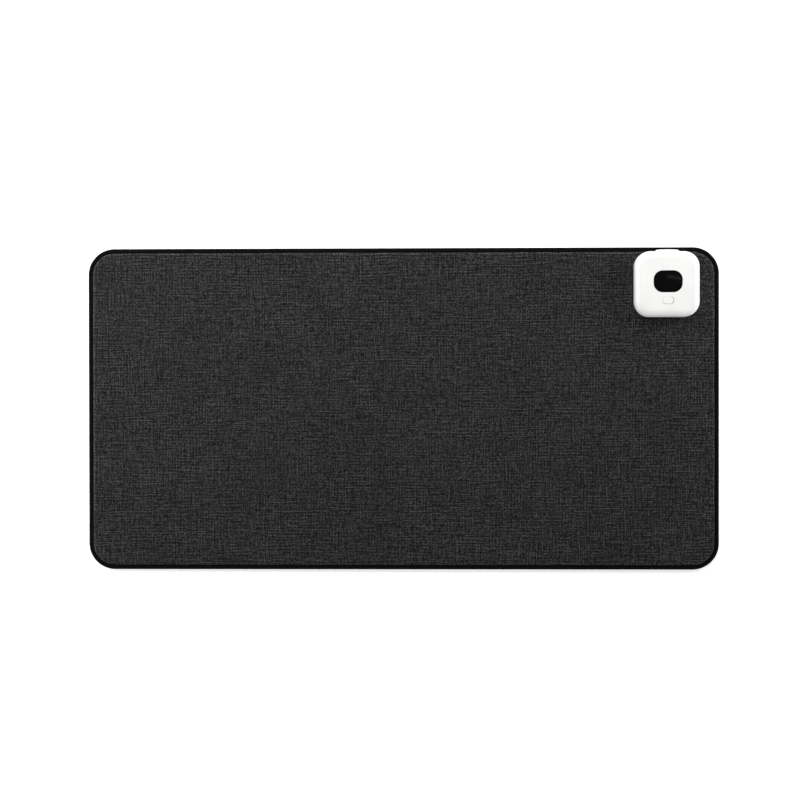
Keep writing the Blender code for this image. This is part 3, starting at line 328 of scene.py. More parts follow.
@dataclass(frozen=True)
class LinenLookCloth(Finish):
    """Plain weave of slub yarn that changes tone along its length. Every third yarn is a lighter one."""

    pitch: float = 0.96  # mm from thread to thread
    wander: float = 1.1  # mm that a thread strays from straight
    wander_scale: float = 0.035  # its waves per mm
    weft_shift: Place = (300, 70, 9)  # mm; sets the weft's waves apart from the warp's
    weft_layer: float = 31.0  # sets the weft's tones apart from the warp's
    dash: float = 0.042  # tone changes per mm along a thread
    step: float = 0.80  # tone changes from one thread to the next
    counter: float = 0.8  # how much a thread differs from its neighbour
    line_contrast: float = 0.92
    warp_share: float = 0.76  # how strong the warp's lines are beside the weft's
    third_share: float = 0.333  # share of the yarns that are lighter
    third_contrast: float = 0.2  # how much lighter they are, at most
    third_scale: float = 0.03  # changes of that per mm
    fibre_scales: Point = (4.5, 1.2)  # fibres per mm across and along a thread
    fibre_lean: float = 0.5  # mm aside for each mm along
    fibre_contrast: float = 0.9
    grain_contrast: float = 0.66
    # Places on the scale of tones, each with its share of the colour
    tones: tuple[Point, ...] = ((0.10, 0.14), (0.30, 0.42), (0.50, 0.94), (0.70, 1.76), (0.90, 3.10))
    cast_scale: float = 0.16  # changes of hue per mm
    cool: tuple[float, Colour] = (0.36, (0.95, 0.99, 1.065))  # where it is coolest, and its tint
    warm: tuple[float, Colour] = (0.64, (1.045, 1.015, 0.94))
    patch_scale: float = 0.02  # soft patches per mm
    patch_contrast: float = 0.1
    gap_painted_shade: float = 0.35  # share of the tone that is left deep between the threads: painted shade in the gaps
    gap_shade_height: float = 0.5  # height of a thread above which the painted shade is gone and the whole tone shows
    arch: float = 0.75  # share of its height by which a thread dips under the next
    arch_power: float = 0.7  # lower is fuller
    round_power: float = 0.55
    fibre_relief: float = 0.3
    relief_height: float = 0.28  # mm
    edge_painted_highlight: float = 1.75  # how much lighter the cloth is painted on its slope into the stitched edge: a painted highlight
    edge_highlight_levels: Point = (4.3, 5.65)  # mm above the desk between which the painted highlight fades

    def paint(self, graph: ShaderGraph) -> None:
        """Paint the weave from its two sets of threads.

        Args:
            graph: The material's tree.
        """
        x, y, z = graph.parts(graph.place)
        across, along = (
            graph.sum("DIVIDE", graph.sum("ADD", place, self.stray(graph, shift)), self.pitch)
            for place, shift in ((x, (0, 0, 0)), (y, self.weft_shift))
        )
        warp, weft = graph.sum("FLOOR", across), graph.sum("FLOOR", along)
        crossed = graph.sum("FLOORED_MODULO", graph.sum("ADD", warp, weft), 2.0)
        warp_tone, warp_fibre = self.yarn(graph, warp, y, x, 0.0)
        weft_tone, weft_fibre = self.yarn(graph, weft, x, y, self.weft_layer)
        lines = graph.sum("MULTIPLY_ADD", warp_tone, self.warp_share, weft_tone)
        crossing = graph.add(
            "ShaderNodeTexWhiteNoise", {"Vector": graph.joined(warp, weft)}, noise_dimensions="2D"
        )
        fibre = self.either(graph, crossed, warp_fibre, weft_fibre)
        grain = graph.sum(
            "MULTIPLY_ADD", graph.centred(fibre), self.fibre_contrast, crossing.outputs["Value"]
        )
        tone = graph.sum("MULTIPLY_ADD", graph.centred(grain), self.grain_contrast, lines)
        colour = self.toned(graph, graph.sum("ADD", tone, 0.5), *self.tones)
        cast = graph.ramp(graph.speckle(self.cast_scale), self.cool, self.warm)
        bulk = [self.crown(graph, place) for place in (across, along)]
        height = self.either(graph, crossed, self.profile(graph, *bulk), self.profile(graph, *bulk[::-1]))
        patch = graph.spread(
            graph.speckle(self.patch_scale), 1 - self.patch_contrast, 1 + self.patch_contrast
        )
        # painted highlight: the cloth's colour is lighter on its slope down to the stitched edge, times the
        # random patches
        rim = graph.sum("MULTIPLY", patch, graph.spread(z, self.edge_painted_highlight, 1.0, *self.edge_highlight_levels))
        # painted shade: the colour is darker where a thread dips low between its neighbours
        depth = graph.sum("MULTIPLY", rim, graph.spread(height, self.gap_painted_shade, 1.0, 0.0, self.gap_shade_height))
        graph.settle(
            Base_Color=graph.dimmed(graph.tinted(colour, cast), depth),
            Sheen_Weight=0.04,
            Sheen_Roughness=0.5,
            Specular_IOR_Level=0.1,
        )
        raised = graph.sum("MULTIPLY_ADD", fibre, self.fibre_relief, height)
        graph.relief(raised, self.relief_height, strength=0.9)

    def stray(self, graph: ShaderGraph, shift: Place) -> Socket:
        """How far the threads stray sideways at a place.

        Args:
            graph: The material's tree.
            shift: What sets one set of threads apart from the other.

        Returns:
            A distance in millimetres.
        """
        at = graph.vector("ADD", graph.place, shift)
        wave = graph.speckle(self.wander_scale, detail=1.0, at=at)
        return graph.sum("MULTIPLY", graph.centred(wave), self.wander * 2)

    def crown(self, graph: ShaderGraph, place: Socket) -> Socket:
        """From 0 at a thread's sides to 1 at its middle."""
        return graph.sum("SINE", graph.sum("MULTIPLY", graph.sum("FRACT", place), math.pi))

    def slub(self, graph: ShaderGraph, thread: Socket, run: Socket, layer: float) -> Socket:
        """How much lighter or darker a thread is at a place along it.

        Args:
            graph: The material's tree.
            thread: The thread's number.
            run: The place along the thread, in millimetres.
            layer: What sets this set apart from the other.

        Returns:
            The tone about 0.
        """
        at = graph.joined(
            graph.sum("MULTIPLY", thread, self.step), graph.sum("MULTIPLY", run, self.dash), layer
        )
        return graph.centred(graph.speckle(1.0, detail=1.0, at=at))

    def yarn(
        self, graph: ShaderGraph, thread: Socket, run: Socket, side: Socket, layer: float
    ) -> tuple[Socket, Socket]:
        """The tone and the fibres of one set of threads.

        Args:
            graph: The material's tree.
            thread: The thread's number.
            run: The place along the thread, in millimetres.
            side: The place across it.
            layer: What sets this set apart from the other.

        Returns:
            The tone about 0 and the fibres about 0.5.
        """
        own = self.slub(graph, thread, run, layer)
        beside = self.slub(graph, graph.sum("ADD", thread, 1.0), run, layer)
        apart = graph.sum("MULTIPLY_ADD", beside, -self.counter, own)
        third = graph.sum("LESS_THAN", graph.sum("FLOORED_MODULO", thread, 3.0), 0.5)
        change = graph.speckle(self.third_scale, detail=1.0, at=graph.joined(run, side, layer))
        bold = graph.spread(change, 0.0, self.third_contrast)
        lighter = graph.sum("MULTIPLY", graph.sum("SUBTRACT", third, self.third_share), bold)
        tone = graph.sum("MULTIPLY_ADD", apart, self.line_contrast, lighter)
        twist = graph.sum("MULTIPLY_ADD", run, self.fibre_lean, side)
        fine, coarse = self.fibre_scales
        at = graph.joined(graph.sum("MULTIPLY", twist, fine), graph.sum("MULTIPLY", run, coarse), layer)
        return tone, graph.speckle(1.0, detail=1.0, rough=0.6, at=at)

    def either(self, graph: ShaderGraph, share: Socket, first: Socket, second: Socket) -> Socket:
        """The first value where the share is 0, and the second where it is 1."""
        return graph.sum("MULTIPLY_ADD", graph.sum("SUBTRACT", second, first), share, first)

    def profile(self, graph: ShaderGraph, across: Socket, along: Socket) -> Socket:
        """The height of the thread on top, round across its width and arched along its length.

        Args:
            graph: The material's tree.
            across: From 0 at the thread's sides to 1 at its middle.
            along: From 0 where it dips to 1 where it crosses over.

        Returns:
            A height from 0 to 1.
        """
        arched = graph.sum("POWER", along, self.arch_power)
        arch = graph.sum("MULTIPLY_ADD", arched, self.arch, 1 - self.arch)
        return graph.sum("MULTIPLY", graph.sum("POWER", across, self.round_power), arch)


@dataclass(frozen=True)
class Thread(Finish):
    """Spun polyester thread: fine fibres and uneven dye."""

    ply_scale: float = 3.1  # fibres per mm
    dye_scale: float = 0.22  # changes of dye per mm
    ply_share: float = 0.6  # how much of the tone comes from the fibres
    ply_height: float = 0.08  # mm
    tones: Point = (0.55, 1.7)

    def paint(self, graph: ShaderGraph) -> None:
        """Paint the thread.

        Args:
            graph: The material's tree.
        """
        ply = graph.speckle(self.ply_scale, detail=3.0, rough=0.7)
        tone = graph.mixed(graph.speckle(self.dye_scale), ply, self.ply_share)
        graph.settle(Base_Color=self.mottled(graph, tone, *self.tones), Specular_IOR_Level=0.08)
        graph.relief(ply, self.ply_height, strength=0.8)


@dataclass(frozen=True)
class Rubber(Finish):
    """Moulded rubber: fine pits and a dull wear."""

    pit_scale: float = 1.9  # pits per mm
    pit_depth: float = 0.06  # mm
    wear_scale: float = 0.02  # worn patches per mm
    wear: float = 0.1  # roughness that the wear adds or takes
    tones: tuple[Point, Point] = ((0.35, 0.75), (0.65, 1.35))

    def paint(self, graph: ShaderGraph) -> None:
        """Paint the rubber.

        Args:
            graph: The material's tree.
        """
        pits = graph.speckle(self.pit_scale, *FINE)
        wear = graph.speckle(self.wear_scale, *FINE)
        graph.settle(
            Base_Color=self.toned(graph, graph.mixed(wear, pits, 0.5), *self.tones),
            Roughness=self.worn(graph, wear, self.wear, self.wear),
            Specular_IOR_Level=0.35,
        )
        graph.relief(pits, self.pit_depth, strength=0.7)


@dataclass(frozen=True)
class MouldedPlastic(Finish):
    """Moulded plastic with a fine spark-eroded grain, and painted shade below a height where one is given.
    """

    grain: float = 0.012  # mm
    grain_scale: float = 5.0  # grains per mm
    grain_shine: float = 0.05  # roughness that the grain adds or takes
    mottle: float = 0.02  # share by which the tone drifts
    mottle_scale: float = 0.06  # drifts per mm
    painted_shade_level: float = 0.0  # mm; below this height the tone is lower: painted shade, used on the button's flank and flange in its gap
    painted_shade_reach: float = 0.3  # mm over which the painted shade falls
    # share of the tone left in the painted shade
    painted_shade_share: float = 0.1

    def paint(self, graph: ShaderGraph) -> None:
        """Paint the plastic.

        Args:
            graph: The material's tree.
        """
        tone = self.mottled(graph, graph.speckle(self.mottle_scale), 1 - self.mottle, 1 + self.mottle)
        # painted shade: the tone is darker below a height, down the button's flank and on its flange, where
        # it lies in the gap round the button
        if self.painted_shade_level:
            height = graph.parts(graph.place)[2]
            levels = (self.painted_shade_level - self.painted_shade_reach, self.painted_shade_level)
            tone = graph.dimmed(tone, graph.spread(height, self.painted_shade_share, 1.0, *levels))
        grain = graph.speckle(self.grain_scale)
        graph.settle(Base_Color=tone, Roughness=self.worn(graph, grain, self.grain_shine, self.grain_shine))
        graph.relief(grain, self.grain, strength=0.6)


@dataclass(frozen=True)
class TableTop(Finish):
    """A lit white table top."""

    glow: float = 0.6
    patch_scale: float = 0.02  # soft patches per mm
    patch_contrast: float = 0.01

    def paint(self, graph: ShaderGraph) -> None:
        """Paint the table top.

        Args:
            graph: The material's tree.
        """
        patch = graph.speckle(self.patch_scale)
        graph.settle(
            Base_Color=self.mottled(graph, patch, 1 - self.patch_contrast, 1 + self.patch_contrast),
            Emission_Color=(1.0, 1.0, 1.0),
            Emission_Strength=self.glow,
        )


@dataclass(frozen=True)
class SmokedWindow(Finish):
    """Polished smoked acrylic, nearly black, with the faintest haze of wiping."""

    haze_scale: float = 0.35  # streaks per mm
    haze: float = 0.012  # roughness that it adds
    haze_start: float = 0.35
    haze_contrast: float = 0.2

    def paint(self, graph: ShaderGraph) -> None:
        """Paint the window.

        Args:
            graph: The material's tree.
        """
        haze = graph.speckle(self.haze_scale, detail=4.0, rough=0.6)
        graph.settle(
            Base_Color=self.mottled(graph, haze, 1 - self.haze_contrast, 1 + self.haze_contrast),
            Roughness=graph.spread(haze, self.roughness, self.roughness + self.haze, self.haze_start),
            IOR=1.36,
        )


@dataclass(frozen=True)
class Metal(Finish):
    """Plated or bare metal, with fine marks of its making and a little tarnish."""

    marks: float = 3.0  # marks per mm
    drawn: Place = (1.0, 1.0, 0.15)  # the marks are long in z
    mark_depth: float = 0.01  # mm
    wear: Point = (0.08, 0.12)  # roughness that the marks take and add
    tarnish_scale: float = 0.4  # spots per mm
    tones: Point = (0.85, 1.08)

    def paint(self, graph: ShaderGraph) -> None:
        """Paint the metal.

        Args:
            graph: The material's tree.
        """
        lines = graph.speckle(self.marks, *FINE, at=graph.vector("MULTIPLY", graph.place, self.drawn))
        tarnish = graph.speckle(self.tarnish_scale, detail=3.0)
        graph.settle(
            Base_Color=self.mottled(graph, tarnish, *self.tones),
            Roughness=self.worn(graph, lines, *self.wear),
            Metallic=1.0,
        )
        graph.relief(lines, self.mark_depth, strength=0.5)


@dataclass(frozen=True)
class Layered(Finish):
    """Board, film, foam or felt, whose tone and grain are coarse or fine."""

    scale: float = 1.0  # grains per mm
    contrast: float = 0.2
    height: float = 0.02  # mm

    def paint(self, graph: ShaderGraph) -> None:
        """Paint the layer.

        Args:
            graph: The material's tree.
        """
        cells = graph.speckle(self.scale, *FINE)
        graph.settle(Base_Color=self.mottled(graph, cells, 1 - self.contrast, 1 + self.contrast))
        graph.relief(cells, self.height, strength=0.8)


CLOTH = LinenLookCloth("melange_plain_weave", (0.0230, 0.0229, 0.0236), 0.88)
CORE_CLOTH = Thread("edge_under_thread", (0.0022, 0.0022, 0.0022), 0.9)
EDGE_THREAD = Thread("edge_stitch_thread", (0.0040, 0.0040, 0.0039), 0.85)
UNDERSIDE_RUBBER = Rubber("underside_rubber", (0.014, 0.014, 0.0145), 0.75)
DOT_RUBBER = Rubber("grip_dot_rubber", (0.022, 0.022, 0.023), 0.6)
WHITE_SHELL = MouldedPlastic("white_satin_plastic", (0.885, 0.883, 0.872), 0.42)
# The button's flank and flange carry painted shade below 20.95 mm, in the gap round the button.
WHITE_KEY = MouldedPlastic("white_key_plastic", (0.89, 0.888, 0.878), 0.38, grain=0.006, painted_shade_level=20.95)
BLACK_PLASTIC = MouldedPlastic(
    "black_nylon_plastic", (0.014, 0.014, 0.0145), 0.5, grain=0.03, grain_scale=3.0, mottle=0.15
)
WINDOW = SmokedWindow("smoked_window", (0.0007, 0.0007, 0.0008), 0.02)
TABLE_WHITE = TableTop("table_white", (0.8, 0.8, 0.8), 0.7)
SCREW_STEEL = Metal("zinc_plated_screw", (0.55, 0.56, 0.58), 0.34)
TINNED_BRASS = Metal("tinned_contact", (0.66, 0.64, 0.58), 0.26)
HEATER_FILM = Layered("heater_film", (0.42, 0.26, 0.08), 0.28, scale=0.08, contrast=0.1)
BLACK_SLEEVE = MouldedPlastic("black_wire_sleeve", (0.015, 0.015, 0.015), 0.45, mottle=0.1)
CARRIED = {
    "foam_pad": Layered("pad_foam", (0.25, 0.25, 0.26), 0.95, scale=1.6, contrast=0.3, height=0.3),
    "reflective_felt": Layered(
        "felt_with_foil", (0.52, 0.52, 0.54), 0.5, scale=0.9, contrast=0.15, height=0.1
    ),
    "heater_carrier_film": HEATER_FILM,
    "heater_cover_film": HEATER_FILM,
    "carbon_grid": Layered(
        "carbon_print", (0.016, 0.016, 0.017), 0.6, scale=2.2, contrast=0.3, height=0.03
    ),
    "circuit_board": Layered("green_board", (0.02, 0.15, 0.06), 0.38, scale=0.8, contrast=0.12),
    "busbar_": Metal("busbar_foil", (0.74, 0.38, 0.24), 0.32, marks=1.2),
    "terminal_lug": TINNED_BRASS,
    "socket_": TINNED_BRASS,
    "clamp_screw": SCREW_STEEL,
    "board_screw": SCREW_STEEL,
    "input_capacitor": Metal("capacitor_can", (0.75, 0.76, 0.78), 0.28),
    "heater_lead_rear": MouldedPlastic("red_wire_sleeve", (0.42, 0.02, 0.02), 0.45),
    "heater_lead_front": BLACK_SLEEVE,
    "sensor_lead": BLACK_SLEEVE,
    "": MouldedPlastic("chip_resin", (0.02, 0.02, 0.021), 0.5, grain=0.02, mottle=0.12),
}


# Shapes


@dataclass(frozen=True)
class Outline:
    """A rectangle with round corners, seen from above. All in metres."""

    x: float
    y: float
    width: float
    length: float
    corner: float

    def inset(self, distance: float) -> Outline:
        """The outline moved inwards.

        Args:
            distance: How far, or outwards by a negative distance.

        Returns:
            The new outline.
        """
        return replace(
            self,
            width=self.width - 2 * distance,
            length=self.length - 2 * distance,
            corner=max(self.corner - distance, LEAST_CORNER),
        )

    def points(self, steps: int) -> list[Point]:
        """Points round the outline, anticlockwise from the right side.

        Args:
            steps: Facets in each corner.

        Returns:
            Four corners' worth of points.
        """
        half_x = self.width / 2 - self.corner
        half_y = self.length / 2 - self.corner
        found = []
        for quarter, (side, end) in enumerate(((1, 1), (-1, 1), (-1, -1), (1, -1))):
            for step in range(steps + 1):
                angle = (quarter + step / steps) * math.pi / 2
                x = self.x + side * half_x + self.corner * math.cos(angle)
                y = self.y + end * half_y + self.corner * math.sin(angle)
                found.append((x, y))
        return found


def outline_of(node: str, corner: float) -> Outline:
    """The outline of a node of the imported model.

    Args:
        node: Its name.
        corner: Its corner radius.

    Returns:
        The outline.
    """
    low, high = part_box(node)
    middle = (low + high) / 2
    return Outline(middle.x, middle.y, high.x - low.x, high.y - low.y, corner)


def circle(radius: float, facets: int, turn: float = 0.0) -> list[Point]:
    """Points round a circle.

    Args:
        radius: Its radius.
        facets: How many points.
        turn: How far round the first one lies, in facets.

    Returns:
        The points, anticlockwise.
    """
    angles = [FULL_TURN * (step + turn) / facets for step in range(facets)]
    return [(radius * math.cos(angle), radius * math.sin(angle)) for angle in angles]


def arc(radius: float, steps: int) -> list[Point]:
    """A rounded edge, from the wall up.

    Args:
        radius: The edge's radius.
        steps: Facets in the edge.

    Returns:
        Pairs of inset from the wall and rise from the arc's start level.
    """
    angles = [math.radians(90 * step / steps) for step in range(steps + 1)]
    return [(radius * (1 - math.cos(angle)), radius * math.sin(angle)) for angle in angles]


def upper_round(top: float, radius: float, steps: int) -> list[Point]:
    """Insets and heights of a rounded upper edge, from the wall to the top."""
    return [(inset, top - radius + rise) for inset, rise in arc(radius, steps)]


def lower_round(low: float, radius: float, steps: int) -> list[Point]:
    """Insets and heights of a rounded lower edge, from the bottom to the wall."""
    return [(inset, low + radius - rise) for inset, rise in reversed(arc(radius, steps))]


class Shape:
    """A mesh in the making."""

    def __init__(self) -> None:
        """Start with nothing."""
        self.mesh = bmesh.new()

    def ring(self, points: Sequence[Point], height: float) -> Ring:
        """Lay a ring of vertices at a height."""
        return [self.mesh.verts.new((x, y, height)) for x, y in points]

    def stack(self, outline: Outline, steps: int, levels: Sequence[Point]) -> list[Ring]:
        """Lay rings of an outline one over another.

        Args:
            outline: The outline that all of them follow.
            steps: Facets in each corner.
            levels: Each ring's inset and height.

        Returns:
            The rings.
        """
        return [self.ring(outline.inset(inset).points(steps), height) for inset, height in levels]

    def bridge(self, lower: Ring, upper: Ring) -> None:
        """Join two rings with quads.

        Args:
            lower: One ring.
            upper: The other ring, of as many vertices.
        """
        for index in range(len(lower)):
            after = (index + 1) % len(lower)
            self.mesh.faces.new((lower[index], lower[after], upper[after], upper[index]))

    def loft(self, rings: Sequence[Ring]) -> None:
        """Join rings one after another."""
        for lower, upper in zip(rings, rings[1:]):
            self.bridge(lower, upper)

    def cap(self, ring: Ring) -> None:
        """Close a ring with one face."""
        self.mesh.faces.new(ring)

    def lidded(self, rings: Sequence[Ring]) -> None:
        """Join rings one after another, and close the first and the last.

        Args:
            rings: The rings, in order.
        """
        self.loft(rings)
        self.cap(rings[0])
        self.cap(rings[-1])

    def fill(self, *loops: Ring) -> None:
        """Fill the flat field between an outer loop and the holes in it.

        Args:
            *loops: The outer loop, then its holes, all at one height.
        """
        edges = []
        for loop in loops:
            for index, vertex in enumerate(loop):
                ends = (vertex, loop[index - 1])
                edges.append(self.mesh.edges.get(ends) or self.mesh.edges.new(ends))
        bmesh.ops.triangle_fill(self.mesh, edges=edges, use_beauty=True)

    def block(self, low: Vector, high: Vector) -> None:
        """Add a box.

        Args:
            low: Its lowest corner.
            high: Its highest corner.
        """
        place = Matrix.Translation((low + high) / 2) @ Matrix.Diagonal((*(high - low), 1.0))
        bmesh.ops.create_cube(self.mesh, size=1.0, matrix=place)

    def drum(
        self, axis: Vector, radius: float, low: float, high: float, upper_radius: float | None = None
    ) -> None:
        """Add an upright cylinder or cone.

        Args:
            axis: A point on its axis.
            radius: Its radius, at the bottom.
            low: Where it starts.
            high: Where it ends.
            upper_radius: Its radius at the top, where that differs.
        """
        bmesh.ops.create_cone(
            self.mesh,
            cap_ends=True,
            segments=DRUM_FACETS,
            radius1=radius,
            radius2=radius if upper_radius is None else upper_radius,
            depth=high - low,
            matrix=Matrix.Translation((axis.x, axis.y, (low + high) / 2)),
        )

    def tube(self, route: Sequence[Vector], radius: float, facets: int) -> None:
        """Add a tube along a route, with closed ends.

        Args:
            route: The points that it follows.
            radius: Its radius.
            facets: How many it has all round.
        """
        rings = []
        for index, point in enumerate(route):
            run = (route[min(index + 1, len(route) - 1)] - route[max(index - 1, 0)]).normalized()
            side = run.cross(ASIDE).normalized()
            rise = side.cross(run)
            corners = [point + radius * (side * x + rise * y) for x, y in circle(1.0, facets, 0.5)]
            rings.append([self.mesh.verts.new(corner) for corner in corners])
        self.lidded(rings)
        self.face_out()

    def turned(self, profile: Sequence[Point], facets: int, place: Matrix) -> None:
        """Add a turned body.

        Args:
            profile: Its (radius, height) points, from one end to the other.
            facets: How many it has all round.
            place: Where it stands; its axis is Z before that.
        """
        rings = [self.ring(circle(radius, facets), height) for radius, height in profile]
        self.lidded(rings)
        bmesh.ops.transform(self.mesh, matrix=place, verts=[vertex for ring in rings for vertex in ring])

    def face_out(self) -> None:
        """Turn every face outwards."""
        bmesh.ops.recalc_face_normals(self.mesh, faces=self.mesh.faces)

    def solid(self, name: str, finish: Finish, sharp: float = 35.0) -> Piece:
        """Turn the mesh into an object with its finish.

        Args:
            name: The object's name.
            finish: Its finish.
            sharp: Angle above which an edge stays crisp, in degrees.

        Returns:
            The object, linked to the scene.
        """
        bmesh.ops.remove_doubles(self.mesh, verts=self.mesh.verts, dist=TOUCHING)
        self.face_out()
        made = self.plain(name)
        dress(made, finish, sharp)
        return made

    def plain(self, name: str) -> Piece:
        """Turn the mesh into a bare object.

        Args:
            name: The object's name.

        Returns:
            The object, linked to the scene.
        """
        data = bpy.data.meshes.new(name)
        self.mesh.to_mesh(data)
        self.mesh.free()
        return linked(bpy.data.objects.new(name, data))


def linked(thing: bpy.types.Object) -> bpy.types.Object:
    """Link an object to the scene.

    Args:
        thing: The object.

    Returns:
        The same object.
    """
    bpy.context.scene.collection.objects.link(thing)
    return thing


def dress(piece: Piece, finish: Finish, sharp: float = 35.0) -> None:
    """Give a mesh its finish and its smooth shading.

    Args:
        piece: The object.
        finish: Its finish.
        sharp: Angle above which an edge stays crisp, in degrees.
    """
    piece.data.materials.clear()
    piece.data.materials.append(finish.material())
    piece.data.shade_smooth()
    piece.data.set_sharp_from_angle(angle=math.radians(sharp))


def bake(piece: Piece) -> None:
    """Turn a piece's modifiers into plain mesh.

    Args:
        piece: The object, whose modifiers are removed.
    """
    bpy.context.view_layer.update()
    graph = bpy.context.evaluated_depsgraph_get()
    shaped = piece.evaluated_get(graph)
    result = bpy.data.meshes.new_from_object(shaped, preserve_all_data_layers=True, depsgraph=graph)
    piece.modifiers.clear()
    old = piece.data
    piece.data = result
    bpy.data.meshes.remove(old)


def carve(piece: Piece, tools: Sequence[tuple[Shape, Join]]) -> None:
    """Add shapes to a piece and take shapes from it, in order.

    Args:
        piece: The object to work on.
        tools: Each shape, and what it does.
    """
    for index, (shape, join) in enumerate(tools):
        shape.face_out()
        tool = shape.plain(f"{piece.name}_tool_{index}")
        step = piece.modifiers.new("carve", "BOOLEAN")
        step.operation = join.value
        step.solver = "EXACT"
        step.object = tool
        bake(piece)
        bpy.data.objects.remove(tool)
    mesh = bmesh.new()
    mesh.from_mesh(piece.data)
    bmesh.ops.remove_doubles(mesh, verts=mesh.verts, dist=SLIVER)
    bmesh.ops.dissolve_degenerate(mesh, edges=mesh.edges, dist=SLIVER)
    mesh.to_mesh(piece.data)
    mesh.free()


def settle_on(piece: Piece, body: Body, slot: str, *nodes: str) -> Piece:
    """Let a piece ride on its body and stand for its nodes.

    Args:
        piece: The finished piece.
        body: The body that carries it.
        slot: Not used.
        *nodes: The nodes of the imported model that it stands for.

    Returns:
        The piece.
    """
    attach(piece, body.value)
    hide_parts(*nodes)
    LOG.info("%s: %d faces on %s", piece.name, len(piece.data.polygons), body.value)
    return piece


def screw_tips(kind: str) -> list[Vector]:
    """The upper ends of the four screws of a kind, on their axes.

    Args:
        kind: What their nodes' names start with.

    Returns:
        The four points.
    """
    tips = []
    for corner in ("front_left", "front_right", "rear_left", "rear_right"):
        low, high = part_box(f"{kind}_{corner}")
        tips.append(Vector(((low.x + high.x) / 2, (low.y + high.y) / 2, high.z)))
    return tips


# Repeats


class Repeat:
    """Geometry Nodes that set a small unit again and again, and end in plain mesh."""

    def __init__(self, name: str) -> None:
        """Start a tree.

        Args:
            name: The tree's name.
        """
        self.tree = bpy.data.node_groups.new(name, "GeometryNodeTree")
        self.graph = Graph(self.tree)
        for way in ("OUTPUT", "INPUT"):
            self.tree.interface.new_socket(name="Geometry", in_out=way, socket_type="NodeSocketGeometry")
        self.start = self.graph.add("NodeGroupInput")
        self.values: dict[str, object] = {}

    def size(self, name: str, value: object, kind: str = "Float") -> Socket:
        """Add a named input.

        Args:
            name: The input's name.
            value: The value that this use gives it.
            kind: What the socket takes, as Blender names it.

        Returns:
            The input's socket inside the tree.
        """
        made = self.tree.interface.new_socket(name=name, in_out="INPUT", socket_type="NodeSocket" + kind)
        self.values[made.identifier] = value
        return self.start.outputs[name]

    def grow(self, points: Socket, unit: Socket, turn: Source, scale: Socket, finish: Finish) -> None:
        """Set the unit on each point, and close the tree.

        Args:
            points: The points' socket.
            unit: The unit object's socket.
            turn: Each unit's rotation.
            scale: Each unit's scale.
            finish: The finish of every unit.
        """
        add = self.graph.add
        shape = add("GeometryNodeObjectInfo", {"Object": unit}).outputs["Geometry"]
        inputs = {"Points": points, "Instance": shape, "Rotation": turn, "Scale": scale}
        placed = add("GeometryNodeInstanceOnPoints", inputs).outputs[0]
        real = add("GeometryNodeRealizeInstances", {"Geometry": placed}).outputs[0]
        painted = add("GeometryNodeSetMaterial", {"Geometry": real, "Material": finish.material()})
        add("NodeGroupOutput", {0: painted.outputs[0]})

    def run(self, name: str, unit: Piece, finish: Finish, sharp: float = 180.0) -> Piece:
        """Make the repeated piece as one plain mesh.

        Args:
            name: The piece's name.
            unit: The unit object, which is removed afterwards.
            finish: Its finish.
            sharp: Angle above which an edge stays crisp, in degrees.

        Returns:
            The piece.
        """
        piece = linked(bpy.data.objects.new(name, bpy.data.meshes.new(name)))
        nodes = piece.modifiers.new("repeat", "NODES")
        nodes.node_group = self.tree
        for identifier, value in self.values.items():
            nodes[identifier] = value
        bake(piece)
        bpy.data.objects.remove(unit)
        dress(piece, finish, sharp)
        return piece


def stitch_round(name: str, unit: Shape, course: Outline, pitch: float, seed: int) -> Piece:
    """Set a stitch again and again round the mat.

    Args:
        name: The piece's name.
        unit: One stitch, with x along the edge, y inwards and its own height.
        course: The line that the stitches follow.
        pitch: Distance from stitch to stitch, near enough.
        seed: Seed of the stitches' unevenness.

    Returns:
        The stitches as one piece.
    """
    one = unit.plain(name + "_unit")
    repeat = Repeat(name + "_repeat")
    graph = repeat.graph
    long_side = repeat.size("Long side", course.width)
    short_side = repeat.size("Short side", course.length)
    corner = repeat.size("Corner radius", course.corner)
    perimeter = 2 * (course.width + course.length) - (8 - FULL_TURN) * course.corner
    count = repeat.size("Stitches", round(perimeter / pitch), "Int")
    unevenness = repeat.size("Unevenness", UNEVENNESS)
    chosen = repeat.size("Seed", seed, "Int")
    stitch = repeat.size("Stitch", one, "Object")
    line = graph.add(
        "GeometryNodeCurvePrimitiveQuadrilateral",
        {"Width": long_side, "Height": short_side},
        mode="RECTANGLE",
    )
    rounded = graph.add(
        "GeometryNodeFilletCurve",
        {"Curve": line.outputs["Curve"], "Radius": corner, "Count": COURSE_FACETS},
        mode="POLY",
    )
    marks = graph.add(
        "GeometryNodeCurveToPoints", {"Curve": rounded.outputs["Curve"], "Count": count}, mode="COUNT"
    )
    dx, dy, _ = graph.parts(marks.outputs["Tangent"])
    turn = graph.joined(0.0, 0.0, graph.sum("ARCTAN2", dy, dx))
    less, more = graph.sum("SUBTRACT", 1.0, unevenness), graph.sum("ADD", 1.0, unevenness)
    chance = graph.add(
        "FunctionNodeRandomValue",
        {0: graph.joined(less, less, 1.0), 1: graph.joined(more, 1.0, 1.0), "Seed": chosen},
        data_type="FLOAT_VECTOR",
    )
    repeat.grow(marks.outputs["Points"], stitch, turn, chance.outputs[0], EDGE_THREAD)
    return repeat.run(name, one, EDGE_THREAD)


# The mat


